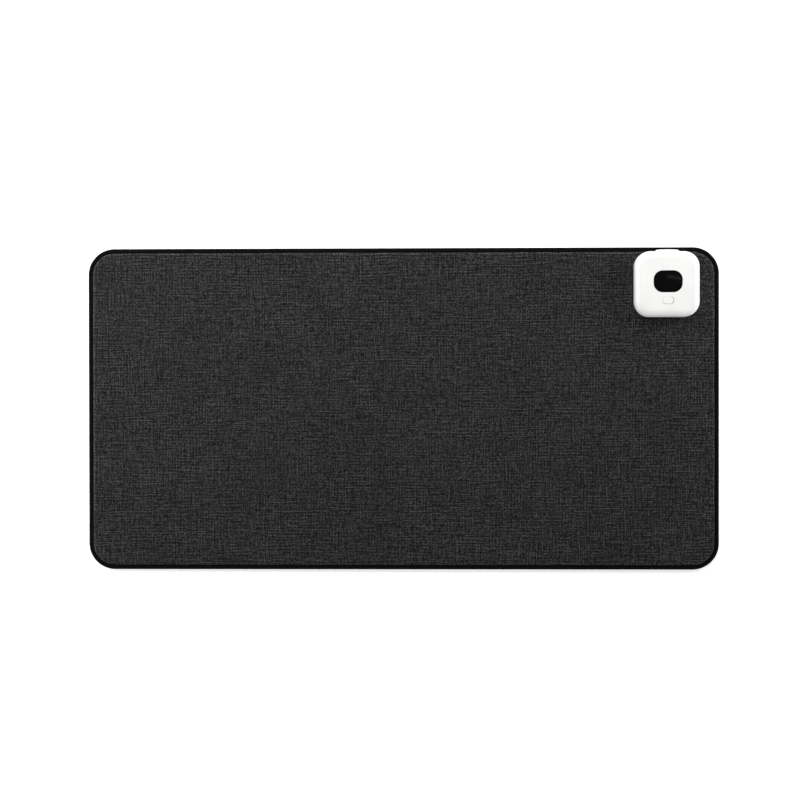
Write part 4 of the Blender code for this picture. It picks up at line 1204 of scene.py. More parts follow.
@dataclass
class MatFabric:
    """The woven cover, its stitched edge and the rubber underside.

    Sizes are in metres, and what is round has its radius.
    """

    corner: float = 25 * MM
    corner_steps: int = 24
    rim_inset: float = 1.2 * MM  # of the cover's and the underside's rim, inside the stitching

    # The cover
    grid: float = 5.0 * MM
    cover_thickness: float = 0.55 * MM
    cover_tuck: float = 0.45 * MM  # how far its slope starts under the stitching
    slope_width: float = 3.0 * MM
    slope_rise: float = 2.75 * MM
    slope_steps: int = 9
    slope_power: float = 1.15
    billow: float = 0.1 * MM
    billow_inset: float = 9 * MM
    billow_reach: float = 30 * MM  # over which it grows to its full height
    billow_waves: tuple[Point, ...] = ((9.0, 1.0), (31.0, 0.5))  # waves per metre, and their shares
    billow_sink: float = 0.4  # share of it by which the field lies lower
    slot_reach: float = 2.5 * MM  # of the leads' slot, past the terminals
    screw_hole: float = 1.9 * MM
    cut_below: float = 3 * MM  # of the slot's cutter under the foam, and the holes' under the desk
    cut_above: float = 9 * MM  # of both over the foam

    # The under-layer of the stitched edge
    binding_width: float = 4.35 * MM
    binding_height: float = 4.2 * MM
    band_threads: float = 1.7  # thread radii that lie over it
    band_gap: float = 0.1 * MM
    band_round: float = 0.9 * MM
    band_steps: int = 6
    band_thickness: float = 0.55 * MM
    band_bevel: float = 0.4 * MM

    # The stitches
    thread: float = 0.24 * MM  # its radius
    desk_gap: float = 0.02 * MM
    stitch_pitch: float = 1.12 * MM
    needle_inset: float = 0.15 * MM  # of the needle line, from the edge's inner side
    needle_dip: float = 0.1 * MM
    level_shares: Point = (0.72, 0.4)  # of the width, between which a loop runs level
    shoulder: Point = (0.7 * MM, 0.2 * MM)  # where a loop bends, in from the edge and down
    fold: Point = (1.3, 0.9 * MM)  # where it is round the edge, in thread radii and down
    side_threads: float = 1.05  # thread radii from the outline to the middle of the side's threads
    knot_gap: float = 0.1 * MM  # half of what is left between upper and lower loops
    loop_facets: int = 4
    loop_seeds: tuple[int, int] = (3, 5)
    lock_height: float = 0.9 * MM  # the shares below are of half a stitch and of this
    lock_shares: tuple[Point, ...] = ((-1.1, 0.35), (-0.4, -0.35), (0.4, 0.35), (1.1, -0.35))
    lock_seed: int = 7
    dash_dip: float = 0.22 * MM
    dash_shares: tuple[Point, ...] = ((-1.9, 0.9), (-1.2, 0.1), (0.0, -0.1), (1.2, 0.1), (1.9, 0.9))
    dash_thread_share: float = 0.95
    dash_facets: int = 5
    dash_seed: int = 11

    # The underside
    rubber_top: float = 1.0 * MM
    rubber_rim: float = 1.2 * MM  # height of its lower face inside the stitching
    rubber_folds: Point = (-1.0 * MM, 0.6 * MM)  # past the stitching, between which it comes down
    clamp_gap: float = 0.3 * MM
    dot_pitch: float = 7.0 * MM
    dot_row_share: float = 0.866  # of the pitch, from row to row
    dot_radius: float = 1.25 * MM
    dot_height: float = 0.4 * MM
    dot_root: float = 0.05 * MM  # how far it goes into the sheet
    dot_shares: tuple[Point, ...] = ((0.88, 0.35), (0.6, 0.0))  # of its radius and height
    dot_facets: int = 8
    dot_sizes: Point = (0.92, 1.06)  # shares of the radius, at random between them
    dot_margin: float = 4 * MM
    dot_clearance: float = 2 * MM  # from the clamp plate's opening to the nearest dot's middle
    dot_seed: int = 2

    def build(self) -> list[Piece]:
        """Build every soft piece of the mat.

        Returns:
            The pieces.
        """
        edge = outline_of("edge_binding", self.corner)
        return [
            self.make_cover(edge),
            self.make_core(edge),
            *self.make_stitches(edge),
            *self.make_underside(edge),
        ]

    def opened(self) -> Shape:
        """The slot for the leads and the holes for the clamp screws, as one cutter.

        Returns:
            The cutter.
        """
        pad_low, pad_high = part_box("foam_pad")
        left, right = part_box("terminal_lug_rear")[0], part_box("terminal_lug_front")[1]
        above = pad_high.z + self.cut_above
        shape = Shape()
        shape.block(
            Vector((left.x - self.slot_reach, left.y - self.slot_reach, pad_low.z - self.cut_below)),
            Vector((right.x + self.slot_reach, right.y + self.slot_reach, above)),
        )
        for tip in screw_tips("clamp_screw"):
            shape.drum(tip, self.screw_hole, -self.cut_below, above)
        return shape

    def make_cover(self, edge: Outline) -> Piece:
        """The woven cover: a thin sheet that slopes down into the stitched edge.

        Args:
            edge: The mat's outline.

        Returns:
            The cover.
        """
        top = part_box("fabric_cover")[1].z
        start = self.binding_width - self.rim_inset - self.cover_tuck
        levels = [(0.0, top - self.slope_rise), (start, top - self.slope_rise)]
        for step in range(1, self.slope_steps + 1):
            share = step / self.slope_steps
            drop = self.slope_rise * (1 - math.sin(share * math.pi / 2) ** self.slope_power)
            levels.append((start + share * self.slope_width, top - drop))
        shape = Shape()
        rings = shape.stack(edge.inset(self.rim_inset), self.corner_steps, levels)
        shape.loft(rings)
        shape.cap(rings[-1])
        self.divide(shape, edge)
        self.swell(shape, edge.inset(self.billow_inset))
        shape.face_out()
        if sum(face.normal.z for face in shape.mesh.faces) < 0:
            bmesh.ops.reverse_faces(shape.mesh, faces=shape.mesh.faces)
        cover = shape.plain("woven_cover")
        wall = cover.modifiers.new("thickness", "SOLIDIFY")
        wall.thickness = self.cover_thickness
        wall.offset = -1.0
        bake(cover)
        carve(cover, [(self.opened(), Join.TAKE)])
        dress(cover, CLOTH, sharp=60.0)
        settle_on(cover, Body.MAT, "linen_look_cloth", "fabric_cover")
        return cover

    def divide(self, shape: Shape, edge: Outline) -> None:
        """Cut the cover's sheet along a grid, so that it can bend.

        Args:
            shape: The sheet.
            edge: The mat's outline.
        """
        for axis, span in ((Vector((1, 0, 0)), edge.width), (Vector((0, 1, 0)), edge.length)):
            count = round(span / self.grid)
            for index in range(1, count):
                bmesh.ops.bisect_plane(
                    shape.mesh,
                    geom=shape.mesh.verts[:] + shape.mesh.edges[:] + shape.mesh.faces[:],
                    plane_co=axis * (index / count - 0.5) * span,
                    plane_no=axis,
                )

    def swell(self, shape: Shape, field: Outline) -> None:
        """Make the cover's sheet slightly uneven.

        Args:
            shape: The sheet.
            field: Where it is uneven.
        """
        for vertex in shape.mesh.verts:
            across = min(
                field.width / 2 - abs(vertex.co.x - field.x),
                field.length / 2 - abs(vertex.co.y - field.y),
                self.billow_reach,
            )
            if across > 0:
                wave = sum(share * noise.noise(vertex.co * scale) for scale, share in self.billow_waves)
                vertex.co.z += self.billow * (wave - self.billow_sink) * across / self.billow_reach

    def make_core(self, edge: Outline) -> Piece:
        """The dense under-layer of thread that folds over the mat's edge.

        Args:
            edge: The mat's outline.

        Returns:
            The band.
        """
        skin = self.band_threads * self.thread
        top, low = self.binding_height - skin, skin
        inner = self.binding_width - self.band_gap
        rounds = lower_round(low, self.band_round, self.band_steps)
        rounds += upper_round(top, self.band_round, self.band_steps)
        wall, bevel = skin + self.band_thickness, self.band_bevel
        ceiling, floor = top - self.band_thickness, low + self.band_thickness
        section = [(inner, low), *((skin + inset, height) for inset, height in rounds)]
        section += [(inner, top), (inner, ceiling), (wall + bevel, ceiling), (wall, ceiling - bevel)]
        section += [(wall, floor + bevel), (wall + bevel, floor), (inner, floor)]
        shape = Shape()
        rings = shape.stack(edge, self.corner_steps, section)
        shape.loft([*rings, rings[0]])
        core = shape.solid("edge_band", CORE_CLOTH, sharp=50.0)
        return settle_on(core, Body.MAT, "black_edge_thread", "edge_binding")

    def make_stitches(self, edge: Outline) -> list[Piece]:
        """The threads of the stitched edge: loops above and below, the locked edge, needle lines.

        Args:
            edge: The mat's outline.

        Returns:
            The pieces.
        """
        top, low = self.binding_height - self.thread, self.thread + self.desk_gap
        made = [
            *self.loops(edge, top, low),
            self.locked_edge(edge, (top + low) / 2),
            *self.needle_lines(edge, top, low),
        ]
        for piece in made:
            settle_on(piece, Body.MAT, "black_edge_thread", "edge_binding")
        return made

    def loops(self, edge: Outline, top: float, low: float) -> list[Piece]:
        """The loops that go from the needle line over the edge, above and below.

        Args:
            edge: The mat's outline.
            top: Height of the uppermost threads' middle.
            low: Height of the lowest threads' middle.

        Returns:
            The upper and the lower loops.
        """
        half = self.stitch_pitch / 2
        inner = self.binding_width - self.needle_inset
        upper = [(inner, top - self.needle_dip), *((inner * share, top) for share in self.level_shares)]
        upper += [(self.shoulder[0], top - self.shoulder[1])]
        upper += [(self.thread * self.fold[0], top - self.fold[1])]
        upper += [(self.thread * self.side_threads, (top + low) / 2 + self.knot_gap)]
        lower = [(depth, top + low - height) for depth, height in upper]
        made = []
        for name, profile, seed in zip(
            ("edge_stitches_upper", "edge_stitches_lower"), (upper, lower), self.loop_seeds
        ):
            along = [half - half * index / (len(profile) - 1) for index in range(len(profile))]
            out, back = (
                [Vector((way * x, depth, height)) for x, (depth, height) in zip(along, profile)]
                for way in (-1, 1)
            )
            unit = Shape()
            unit.tube(out + back[-2::-1], self.thread, self.loop_facets)
            made.append(stitch_round(name, unit, edge, self.stitch_pitch, seed))
        return made

    def locked_edge(self, edge: Outline, side: float) -> Piece:
        """The threads that lock the loops along the mat's side.

        Args:
            edge: The mat's outline.
            side: Height of their middle.

        Returns:
            The threads as one piece.
        """
        half = self.stitch_pitch / 2
        depth = self.thread * self.side_threads
        unit = Shape()
        unit.tube(
            [Vector((half * x, depth, side + self.lock_height * z)) for x, z in self.lock_shares],
            self.thread,
            self.dash_facets,
        )
        return stitch_round("edge_lock_stitches", unit, edge, self.stitch_pitch, self.lock_seed)

    def needle_lines(self, edge: Outline, top: float, low: float) -> list[Piece]:
        """The long stitches along the inner side of the loops, above and below.

        Args:
            edge: The mat's outline.
            top: Height of the upper ones.
            low: Height of the lower ones.

        Returns:
            The upper and the lower line.
        """
        half = self.stitch_pitch / 2
        course = edge.inset(self.binding_width - self.needle_inset)
        made = []
        for name, height, dip in (
            ("needle_line_upper", top, self.dash_dip),
            ("needle_line_lower", low, -self.dash_dip),
        ):
            route = [Vector((half * x, 0.0, height - dip * share)) for x, share in self.dash_shares]
            unit = Shape()
            unit.tube(route, self.thread * self.dash_thread_share, self.dash_facets)
            made.append(stitch_round(name, unit, course, self.stitch_pitch * 2, self.dash_seed))
        return made

    def make_underside(self, edge: Outline) -> list[Piece]:
        """The rubber-coated underside, and the grip dots on it.

        Args:
            edge: The mat's outline.

        Returns:
            The sheet and its dots.
        """
        clamp = outline_of("clamp_plate", CLAMP_CORNER).inset(-self.clamp_gap)
        rim = edge.inset(self.rim_inset)
        rise = self.rubber_rim - self.dot_height
        first, last = (self.binding_width + fold for fold in self.rubber_folds)
        outer = [(0.0, rise), (first, rise), (last, 0.0)]
        faces = (self.dot_height, self.rubber_top)
        shape = Shape()
        below, above = (
            shape.stack(rim, self.corner_steps, [(inset, face + lift) for inset, lift in outer])
            for face in faces
        )
        hole_low, hole_top = shape.stack(clamp, self.corner_steps, [(0.0, face) for face in faces])
        shape.loft([*below[::-1], *above])
        shape.bridge(hole_low, hole_top)
        shape.fill(below[-1], hole_low)
        shape.fill(above[-1], hole_top)
        sheet = shape.solid("rubber_underside", UNDERSIDE_RUBBER)
        settle_on(sheet, Body.MAT, "black_rubber", "anti_slip_base")
        field = edge.inset(self.binding_width + self.dot_margin)
        dots = self.make_dots(field, clamp.inset(-self.dot_clearance))
        settle_on(dots, Body.MAT, "black_rubber", "anti_slip_base")
        return [sheet, dots]

    def make_dot(self) -> Piece:
        """One grip dot, as the unit of the repeat.

        Returns:
            The dot.
        """
        shape = Shape()
        rings = [shape.ring(circle(self.dot_radius, self.dot_facets), self.dot_height + self.dot_root)]
        for share, height_share in self.dot_shares:
            points = circle(self.dot_radius * share, self.dot_facets)
            rings.append(shape.ring(points, height_share * self.dot_height))
        shape.lidded(rings)
        shape.face_out()
        return shape.plain("dot_unit")

    def make_dots(self, field: Outline, window: Outline) -> Piece:
        """Grip dots in a staggered grid, clear of the clamp plate.

        Args:
            field: Where the dots may stand.
            window: Where none stands.

        Returns:
            The dots as one piece.
        """
        dot = self.make_dot()
        repeat = Repeat("grip_dots_repeat")
        graph = repeat.graph
        row_pitch = self.dot_pitch * self.dot_row_share
        pitch = repeat.size("Pitch", self.dot_pitch)
        row_share = repeat.size("Row share", self.dot_row_share)
        columns = repeat.size("Columns", int(field.width / self.dot_pitch) + 2, "Int")
        rows = repeat.size("Rows", int(field.length / row_pitch) + 2, "Int")
        chosen = repeat.size("Seed", self.dot_seed, "Int")
        reach = (field.width / 2 - field.corner, field.length / 2 - field.corner, 0.0)
        half = repeat.size("Field", reach, "Vector")
        corner = repeat.size("Field corner", field.corner)
        hole = repeat.size("Window middle", (window.x, window.y, 0.0), "Vector")
        hole_x = repeat.size("Window half width", window.width / 2)
        hole_y = repeat.size("Window half length", window.length / 2)
        thing = repeat.size("Dot", dot, "Object")
        spans = [
            graph.sum("MULTIPLY", step, graph.sum("SUBTRACT", count, 1.0))
            for step, count in ((pitch, columns), (graph.sum("MULTIPLY", pitch, row_share), rows))
        ]
        inputs = {"Size X": spans[0], "Size Y": spans[1], "Vertices X": columns, "Vertices Y": rows}
        grid = graph.add("GeometryNodeMeshGrid", inputs)
        row = graph.sum("FLOORED_MODULO", graph.add("GeometryNodeInputIndex").outputs[0], rows)
        odd = graph.sum("FLOORED_MODULO", row, 2.0)
        shift = graph.sum("MULTIPLY", odd, graph.sum("MULTIPLY", pitch, 0.5))
        inputs = {"Geometry": grid.outputs["Mesh"], "Offset": graph.joined(shift, 0.0, 0.0)}
        moved = graph.add("GeometryNodeSetPosition", inputs)
        place = graph.add("GeometryNodeInputPosition").outputs[0]
        past = graph.vector("SUBTRACT", graph.vector("ABSOLUTE", place), half)
        distance = graph.vector("LENGTH", graph.vector("MAXIMUM", past, (0, 0, 0)))
        outside = graph.sum("GREATER_THAN", distance, corner)
        away_x, away_y, _ = graph.parts(graph.vector("ABSOLUTE", graph.vector("SUBTRACT", place, hole)))
        over = [
            graph.sum("LESS_THAN", away, limit) for away, limit in ((away_x, hole_x), (away_y, hole_y))
        ]
        dropped = graph.sum("MAXIMUM", outside, graph.sum("MULTIPLY", *over))
        inputs = {"Geometry": moved.outputs["Geometry"], "Selection": dropped}
        kept = graph.add("GeometryNodeDeleteGeometry", inputs, domain="POINT")
        chance = graph.add(
            "FunctionNodeRandomValue",
            {2: self.dot_sizes[0], 3: self.dot_sizes[1], "Seed": chosen},
            data_type="FLOAT",
        )
        scale = graph.joined(chance.outputs[1], chance.outputs[1], 1.0)
        repeat.grow(kept.outputs["Geometry"], thing, (0.0, 0.0, 0.0), scale, DOT_RUBBER)
        return repeat.run("grip_dots", dot, DOT_RUBBER, sharp=40.0)


# The controller


@dataclass(frozen=True)
class Post:
    """A kind of post under the shell's ceiling, which takes a screw. Sizes in metres."""

    screw: str
    foot: str  # the node that it ends above
    radius: float
    pilot: float  # radius of the screw's hole


POSTS = (
    Post("clamp_screw", "controller_floor", 3.3 * MM, 1.75 * MM),
    Post("board_screw", "circuit_board", 2.5 * MM, 1.25 * MM),
)


@dataclass
class Controller:
    """The white controller: shell, window, button, socket, clamp plate.

    Sizes are in metres, and what is round has its radius.
    """

    corner_steps: int = 20
    round_facets: int = 64
    overrun: float = 2 * MM  # of a cutter past what it cuts

    # The shell
    corner: float = 14.5 * MM
    edge: float = 6.5 * MM
    edge_steps: int = 18
    edge_land: float = 0.4 * MM  # flat strip on either side of the rounded edge
    foot: float = 0.25 * MM
    foot_steps: int = 4
    skirt: float = 1.5 * MM
    wall: float = 2.2 * MM
    floor_gap: float = 0.3 * MM
    ceiling_slope: Point = (1.6 * MM, 0.9 * MM)  # inside the wall, and below the ceiling
    ceiling_inset: float = 0.3 * MM  # from the rounded edge to the flat ceiling
    lip: float = 0.15 * MM
    lip_steps: int = 5
    lip_land: float = 0.25 * MM  # flat strip round an opening
    post_gap: float = 0.3 * MM
    post_root: float = 0.4 * MM  # how far a post goes into the ceiling
    pilot_run: float = 0.3 * MM  # of a screw's hole past its tip

    # The socket's surround
    bulge_width: float = 22.6 * MM
    bulge_height: float = 11.2 * MM
    bulge_reach: float = 1.7 * MM
    bulge_crown: float = 0.4 * MM
    bulge_end: float = 1.7 * MM  # over which it swells from the wall
    bulge_steps: int = 72
    bulge_edge: float = 1.3 * MM
    bulge_edge_steps: int = 7
    bulge_skirt: float = 1.0 * MM
    bulge_root: float = 1.4 * MM  # how far it goes into the wall
    bulge_sink: float = 0.02 * MM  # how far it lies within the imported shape

    # The window
    window_corner: float = 8.5 * MM
    window_gap: float = 0.1 * MM
    window_ledge: float = 1.5 * MM
    window_bed: float = 0.3 * MM  # under the window, for its glue
    window_foot: float = 0.15 * MM
    window_edge: float = 0.3 * MM
    window_edge_steps: int = 6
    window_land: float = 0.8 * MM

    # The button
    key_corner: float = 3.3 * MM
    # Left, right, front and rear
    key_gaps: tuple[float, float, float, float] = (0.03 * MM, 0.42 * MM, 0.14 * MM, 0.03 * MM)
    key_edge: float = 0.3 * MM
    key_edge_steps: int = 8
    key_dish: float = 0.12 * MM
    # Places inside the rounded edge, and the share of the dish there
    dish_shares: tuple[Point, ...] = ((0.5 * MM, 0.25), (1.1 * MM, 0.7), (1.9 * MM, 1.0))
    flange: float = 1.2 * MM
    flange_height: float = 0.8 * MM

    # The socket
    nose: float = 3.7 * MM
    nose_gap: float = 0.2 * MM
    rim_ease: float = 0.45 * MM
    rim_overrun: float = 0.55 * MM  # of the cutter past the wall
    bore: float = 3.15 * MM
    bore_depth: float = 11.0 * MM
    pin_hole: float = 1.35 * MM
    chamfer: float = 0.35 * MM
    mouth_share: float = 1.2  # of the chamfer, at the bore's mouth
    box_setback: float = 4.0 * MM  # from the mouth to the square part
    leaf_ease: Place = (0.3 * MM, 0.2 * MM, 0.3 * MM)

    # The clamp plate
    clamp_ease: float = 0.6 * MM
    clamp_ease_middle: float = 0.18 * MM  # in and up, halfway round the eased edge
    clamp_bevel: float = 0.1 * MM
    clamp_hole: float = 1.8 * MM
    sink_radii: Point = (5.4 * MM, 1.85 * MM)  # at the cutter's lower and upper end
    sink_depth: float = 1.55 * MM

    def build(self) -> list[Piece]:
        """Build every visible piece of the controller.

        Returns:
            The pieces.
        """
        return [
            self.make_shell(),
            self.make_window(),
            self.make_key(),
            self.make_socket(),
            self.make_clamp(),
        ]

    def opening(self, shape: Shape, hole: Outline, top: float, walls: Sequence[Point]) -> tuple[Ring, Ring]:
        """A hole's wall, from a support line on the top face down through the shell.

        Args:
            shape: The shell's mesh.
            hole: The hole's outline.
            top: The top face's height.
            walls: Insets and heights for the wall below the rounded lip.

        Returns:
            The top ring and the bottom ring.
        """
        rounded = upper_round(top, self.lip, self.lip_steps)[::-1]
        levels = [(-self.lip - self.lip_land, top), *((-inset, height) for inset, height in rounded)]
        rings = shape.stack(hole, self.corner_steps, [*levels, *walls])
        shape.loft(rings)
        return rings[0], rings[-1]

    def make_shell(self) -> Piece:
        """The shell, with its window seat, its button hole, its posts and the socket's surround.

        Returns:
            The shell.
        """
        low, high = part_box("controller_shell")
        top, bottom = high.z, low.z
        ceiling = top - self.wall
        floor = outline_of("controller_floor", self.corner)
        body = replace(floor.inset(-(self.wall + self.floor_gap)), corner=self.corner)
        levels = [(self.wall - self.foot, bottom), *lower_round(bottom, self.foot, self.foot_steps)]
        levels += [(0.0, bottom + self.skirt), (0.0, top - self.edge - self.edge_land)]
        levels += upper_round(top, self.edge, self.edge_steps)
        levels += [(self.edge + self.edge_land, top)]
        slope, drop = self.ceiling_slope
        under = [(self.wall, bottom + self.foot), (self.wall, top - self.edge)]
        under += [(self.wall + slope, ceiling - drop), (self.edge + self.ceiling_inset, ceiling)]
        shape = Shape()
        outer = shape.stack(body, self.corner_steps, levels)
        inner = shape.stack(body, self.corner_steps, under)
        shape.loft([*inner[::-1], *outer])
        lens = outline_of("display_lens", self.window_corner).inset(-self.window_gap)
        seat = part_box("display_lens")[0].z - self.window_bed
        walls = [(0.0, seat), (self.window_ledge, seat), (self.window_ledge, ceiling)]
        window_top, window_bottom = self.opening(shape, lens, top, walls)
        key_top, key_bottom = self.opening(shape, self.key_hole(), top, [(0.0, ceiling)])
        shape.fill(outer[-1], window_top, key_top)
        shape.fill(inner[-1], window_bottom, key_bottom)
        shell = shape.solid("shell", WHITE_SHELL)
        rear = body.y + body.length / 2
        carve(
            shell,
            [
                (self.surround(body.x, rear, bottom), Join.ADD),
                (self.posts(ceiling), Join.ADD),
                (self.pilots(), Join.TAKE),
                (self.socket_hole(rear), Join.TAKE),
            ],
        )
        dress(shell, WHITE_SHELL, sharp=32.0)
        return settle_on(shell, Body.MAT, "white_abs", "controller_shell")

    def key_outline(self) -> Outline:
        """The button's outline above its flange."""
        return outline_of("button_cap", self.key_corner + self.flange).inset(self.flange)

    def key_hole(self) -> Outline:
        """The button's hole, in which the button lies a little to the left and the rear.

        Returns:
            The hole's outline.
        """
        key = self.key_outline()
        left, right, front, rear = self.key_gaps
        return Outline(
            key.x + (right - left) / 2,
            key.y + (rear - front) / 2,
            key.width + left + right,
            key.length + front + rear,
            key.corner + left,
        )

    def surround(self, x: float, rear: float, bottom: float) -> Shape:
        """The raised surround of the power socket.

        Args:
            x: Its middle.
            rear: The shell's rear wall.
            bottom: The shell's lower edge.

        Returns:
            The surround as a solid that reaches into the wall.
        """
        shape = Shape()
        root = rear - self.bulge_root
        rings = []
        levels = [(0.0, bottom), (0.0, bottom + self.bulge_skirt)]
        levels += upper_round(bottom + self.bulge_height, self.bulge_edge, self.bulge_edge_steps)
        for inset, height in levels:
            half = self.bulge_width / 2 - inset
            points = []
            for step in range(self.bulge_steps + 1):
                across = half * (1 - 2 * step / self.bulge_steps)
                share = min((half - abs(across)) / self.bulge_end, 1.0)
                swell = share * share * (3 - 2 * share)
                crown = self.bulge_crown * (1 - (across / half) ** 2)
                out = (self.bulge_reach - self.bulge_crown - inset) * swell + crown * swell
                points.append((x + across, rear + out - self.bulge_sink))
            points += [(x - half, root), (x + half, root)]
            rings.append(shape.ring(points, height))
        shape.lidded(rings)
        return shape

    def posts(self, ceiling: float) -> Shape:
        """The posts for the clamp screws and the bosses for the board.

        Args:
            ceiling: The height of the shell's ceiling.

        Returns:
            The posts, as one solid.
        """
        shape = Shape()
        for post in POSTS:
            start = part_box(post.foot)[1].z + self.post_gap
            for tip in screw_tips(post.screw):
                shape.drum(tip, post.radius, start, ceiling + self.post_root)
        return shape

    def pilots(self) -> Shape:
        """The holes that the screws go into.

        Returns:
            The holes, as one cutter.
        """
        shape = Shape()
        for post in POSTS:
            for tip in screw_tips(post.screw):
                shape.drum(tip, post.pilot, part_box(post.foot)[0].z, tip.z + self.pilot_run)
        return shape

    def socket_axis(self) -> Vector:
        """The socket's axis, at the mouth."""
        low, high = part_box("socket_pin")
        return Vector(((low.x + high.x) / 2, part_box("socket_body")[1].y, (low.z + high.z) / 2))

    def socket_hole(self, rear: float) -> Shape:
        """The hole in the rear wall, with an eased rim.

        Args:
            rear: The shell's rear wall.

        Returns:
            The cutter.
        """
        mouth = self.socket_axis()
        radius = self.nose + self.nose_gap
        face = rear + self.bulge_reach - self.bulge_sink - mouth.y
        profile = [
            (radius, rear - self.wall - self.overrun - mouth.y),
            (radius, face - self.rim_ease),
            (radius + self.rim_ease + self.rim_overrun, face + self.rim_overrun),
        ]
        shape = Shape()
        shape.turned(profile, self.round_facets, Matrix.Translation(mouth) @ FACING_REAR)
        return shape

    def make_window(self) -> Piece:
        """The smoked window, with a polished edge.

        Returns:
            The window.
        """
        low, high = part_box("display_lens")
        lens = outline_of("display_lens", self.window_corner)
        levels = [(self.window_foot, low.z), (0.0, low.z + self.window_foot)]
        levels += upper_round(high.z, self.window_edge, self.window_edge_steps)
        levels += [(self.window_land, high.z)]
        shape = Shape()
        shape.lidded(shape.stack(lens, self.corner_steps, levels))
        window = shape.solid("window", WINDOW, sharp=60.0)
        return settle_on(window, Body.MAT, "smoked_acrylic", "display_lens")

    def make_key(self) -> Piece:
        """The button: a soft-edged, slightly dished cap on its flange.

        Returns:
            The button.
        """
        low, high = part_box("button_cap")
        key = self.key_outline()
        flange = outline_of("button_cap", self.key_corner + self.flange)
        flange_top = low.z + self.flange_height
        levels = [(0.0, flange_top), *upper_round(high.z, self.key_edge, self.key_edge_steps)]
        levels += [
            (self.key_edge + inset, high.z - share * self.key_dish) for inset, share in self.dish_shares
        ]
        shape = Shape()
        rings = shape.stack(flange, self.corner_steps, [(0.0, low.z), (0.0, flange_top)])
        shape.lidded([*rings, *shape.stack(key, self.corner_steps, levels)])
        cap = shape.solid("button", WHITE_KEY, sharp=50.0)
        return settle_on(cap, Body.BUTTON, "white_abs", "button_cap")

    def make_socket(self) -> Piece:
        """The power socket's body, with a chamfered mouth round its bore.

        Returns:
            The socket.
        """
        low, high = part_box("socket_body")
        place = Matrix.Translation(self.socket_axis()) @ FACING_REAR
        depth = self.bore_depth
        nose = Shape()
        profile = [(self.nose, -depth / 2), (self.nose, -self.chamfer), (self.nose - self.chamfer, 0.0)]
        nose.turned(profile, self.round_facets, place)
        bore = Shape()
        profile = [(self.pin_hole, low.y - high.y - self.overrun), (self.pin_hole, -depth)]
        profile += [(self.bore, -depth), (self.bore, -self.chamfer)]
        profile += [(self.bore + self.chamfer * self.mouth_share, self.chamfer)]
        bore.turned(profile, self.round_facets, place)
        box = Shape()
        box.block(low, Vector((high.x, high.y - self.box_setback, high.z)))
        slot = Shape()
        leaf_low, leaf_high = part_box("socket_contact")
        slot.block(leaf_low - Vector(self.leaf_ease), leaf_high + Vector(self.leaf_ease))
        socket = nose.solid("socket", BLACK_PLASTIC)
        carve(socket, [(box, Join.ADD), (bore, Join.TAKE), (slot, Join.TAKE)])
        dress(socket, BLACK_PLASTIC)
        return settle_on(socket, Body.MAT, "black_nylon", "socket_body")

    def make_clamp(self) -> Piece:
        """The clamp plate under the mat, with eased edges and countersunk holes.

        Returns:
            The plate.
        """
        low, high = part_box("clamp_plate")
        plate = outline_of("clamp_plate", CLAMP_CORNER)
        middle = self.clamp_ease_middle
        levels = [(self.clamp_ease, low.z), (middle, low.z + middle), (0.0, low.z + self.clamp_ease)]
        levels += [(0.0, high.z - self.clamp_bevel), (self.clamp_bevel, high.z)]
        shape = Shape()
        shape.lidded(shape.stack(plate, self.corner_steps, levels))
        clamp = shape.solid("clamp", BLACK_PLASTIC)
        start, end = low.z - self.overrun, high.z + self.overrun
        holes, sinks = Shape(), Shape()
        for tip in screw_tips("clamp_screw"):
            holes.drum(tip, self.clamp_hole, start, end)
            sinks.drum(tip, self.sink_radii[0], start, low.z + self.sink_depth, self.sink_radii[1])
        carve(clamp, [(holes, Join.TAKE), (sinks, Join.TAKE)])
        dress(clamp, BLACK_PLASTIC, sharp=30.0)
        return settle_on(clamp, Body.MAT, "black_nylon", "clamp_plate")


# What is carried over, and the studio


def dress_carried() -> None:
    """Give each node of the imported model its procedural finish."""
    for name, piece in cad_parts.items():
        finish = next(kind for start, kind in CARRIED.items() if name.startswith(start))
        piece.data.materials.clear()
        piece.data.materials.append(finish.material())
    LOG.info("%d nodes of the packed model dressed", len(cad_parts))


@dataclass(frozen=True)
class Softbox:
    """A soft rectangular light that faces the mat, or straight down where it has a turn."""

    name: str
    place: Place
    size: Point
    power: float  # watts
    turn: float | None = None  # degrees

    def build(self) -> None:
        """Set up the light."""
        data = bpy.data.lights.new(self.name, "AREA")
        data.shape = "RECTANGLE"
        data.size, data.size_y = self.size
        data.energy = self.power
        lamp = linked(bpy.data.objects.new(self.name, data))
        lamp.location = self.place
        if self.turn is None:
            lamp.rotation_euler = (-Vector(self.place)).to_track_quat("-Z", "Y").to_euler()
        else:
            lamp.rotation_euler = (0.0, 0.0, math.radians(self.turn))


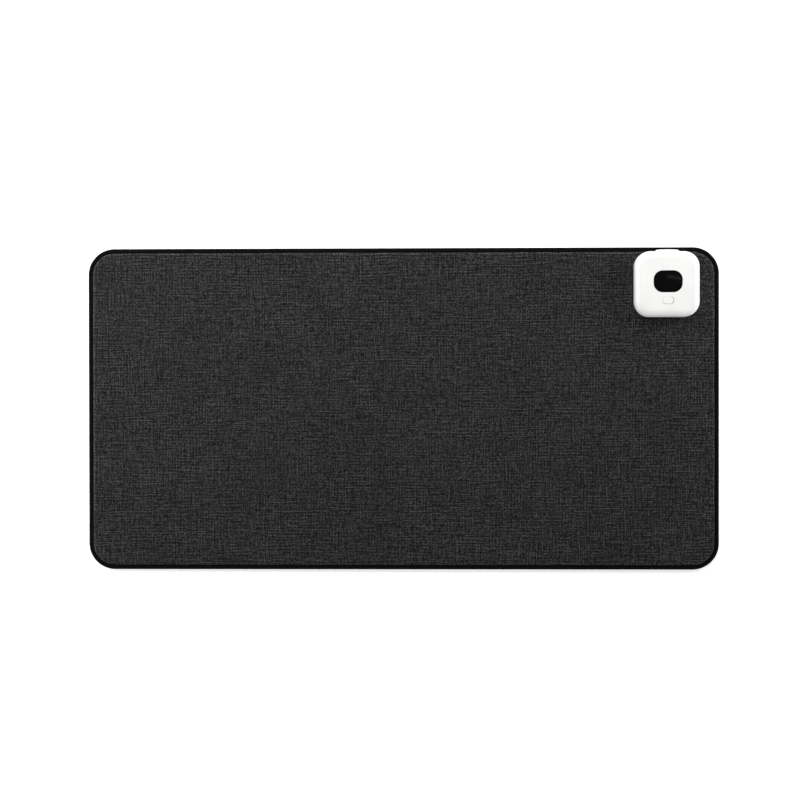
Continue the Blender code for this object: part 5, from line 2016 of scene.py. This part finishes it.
@dataclass
class Studio:
    """Floor, light and camera. Sizes in metres."""

    eye: Place = (0.0276, 0.0195, 1.45)
    lean: Place = (-0.00765, 0.02077, -0.00142)  # radians from straight down
    frame_width: float = 0.76298
    sensor: float = 36.0  # mm
    sight: float = 20.0
    ambient: float = 0.145
    table_half: float = 4.0
    table_level: float = -0.2 * MM  # just under the mat
    lights: tuple[Softbox, ...] = (
        Softbox("rear_softbox", (-0.03, 0.54, 0.52), (0.75, 0.4), 4.4),
        Softbox("left_softbox", (-0.88, 0.08, 0.43), (0.6, 0.35), 4.1),
        Softbox("left_strip", (-0.62, 0.1, 0.075), (0.5, 0.07), 1.25),
        Softbox("right_softbox", (1.0, 0.32, 0.32), (0.5, 0.3), 5.8),
        Softbox("front_softbox", (0.25, -1.3, 0.2), (0.8, 0.25), 7.0),
        Softbox("catch_light", (0.4714, 0.2217, 1.38), (0.026, 0.004), 0.00019, turn=-10.0),
    )

    def build(self) -> None:
        """Set up the floor, the lights and the camera."""
        self.make_floor()
        self.make_world()
        for light in self.lights:
            light.build()
        self.make_camera()
        bpy.context.scene.view_settings.view_transform = "Standard"
        LOG.info("studio ready")

    def make_floor(self) -> None:
        """Lay a plain white table top."""
        half = self.table_half
        shape = Shape()
        corners = [(-half, -half), (half, -half), (half, half), (-half, half)]
        shape.cap(shape.ring(corners, self.table_level))
        floor = shape.solid("table_top", TABLE_WHITE)
        if floor.data.polygons[0].normal.z < 0:
            floor.data.flip_normals()

    def make_world(self) -> None:
        """Light the scene evenly from all round, before a white backdrop."""
        world = bpy.data.worlds.new("studio_air")
        world.use_nodes = True
        tree = Graph(world.node_tree)
        seen = tree.add("ShaderNodeLightPath").outputs["Is Camera Ray"]
        ground = world.node_tree.nodes["Background"]
        ground.inputs["Color"].default_value = (1.0, 1.0, 1.0, 1.0)
        tree.feed(ground.inputs["Strength"], tree.sum("MAXIMUM", seen, self.ambient))
        bpy.context.scene.world = world

    def make_camera(self) -> None:
        """Set up the camera, almost straight above as in the photograph."""
        data = bpy.data.cameras.new("overhead")
        data.sensor_width = self.sensor
        data.lens = self.sensor * self.eye[2] / self.frame_width
        data.clip_end = self.sight
        camera = linked(bpy.data.objects.new("overhead", data))
        camera.location = self.eye
        camera.rotation_euler = self.lean
        bpy.context.scene.camera = camera


def main() -> None:
    """Build the pieces in order, and log their face counts and how many there are."""
    logging.basicConfig(level=logging.INFO, format="%(name)s: %(message)s", stream=sys.stdout)
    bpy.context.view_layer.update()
    Studio().build()
    dress_carried()
    made = [*MatFabric().build(), *Controller().build()]
    LOG.info("%d pieces built", len(made))


if __name__ == "__main__":
    main()
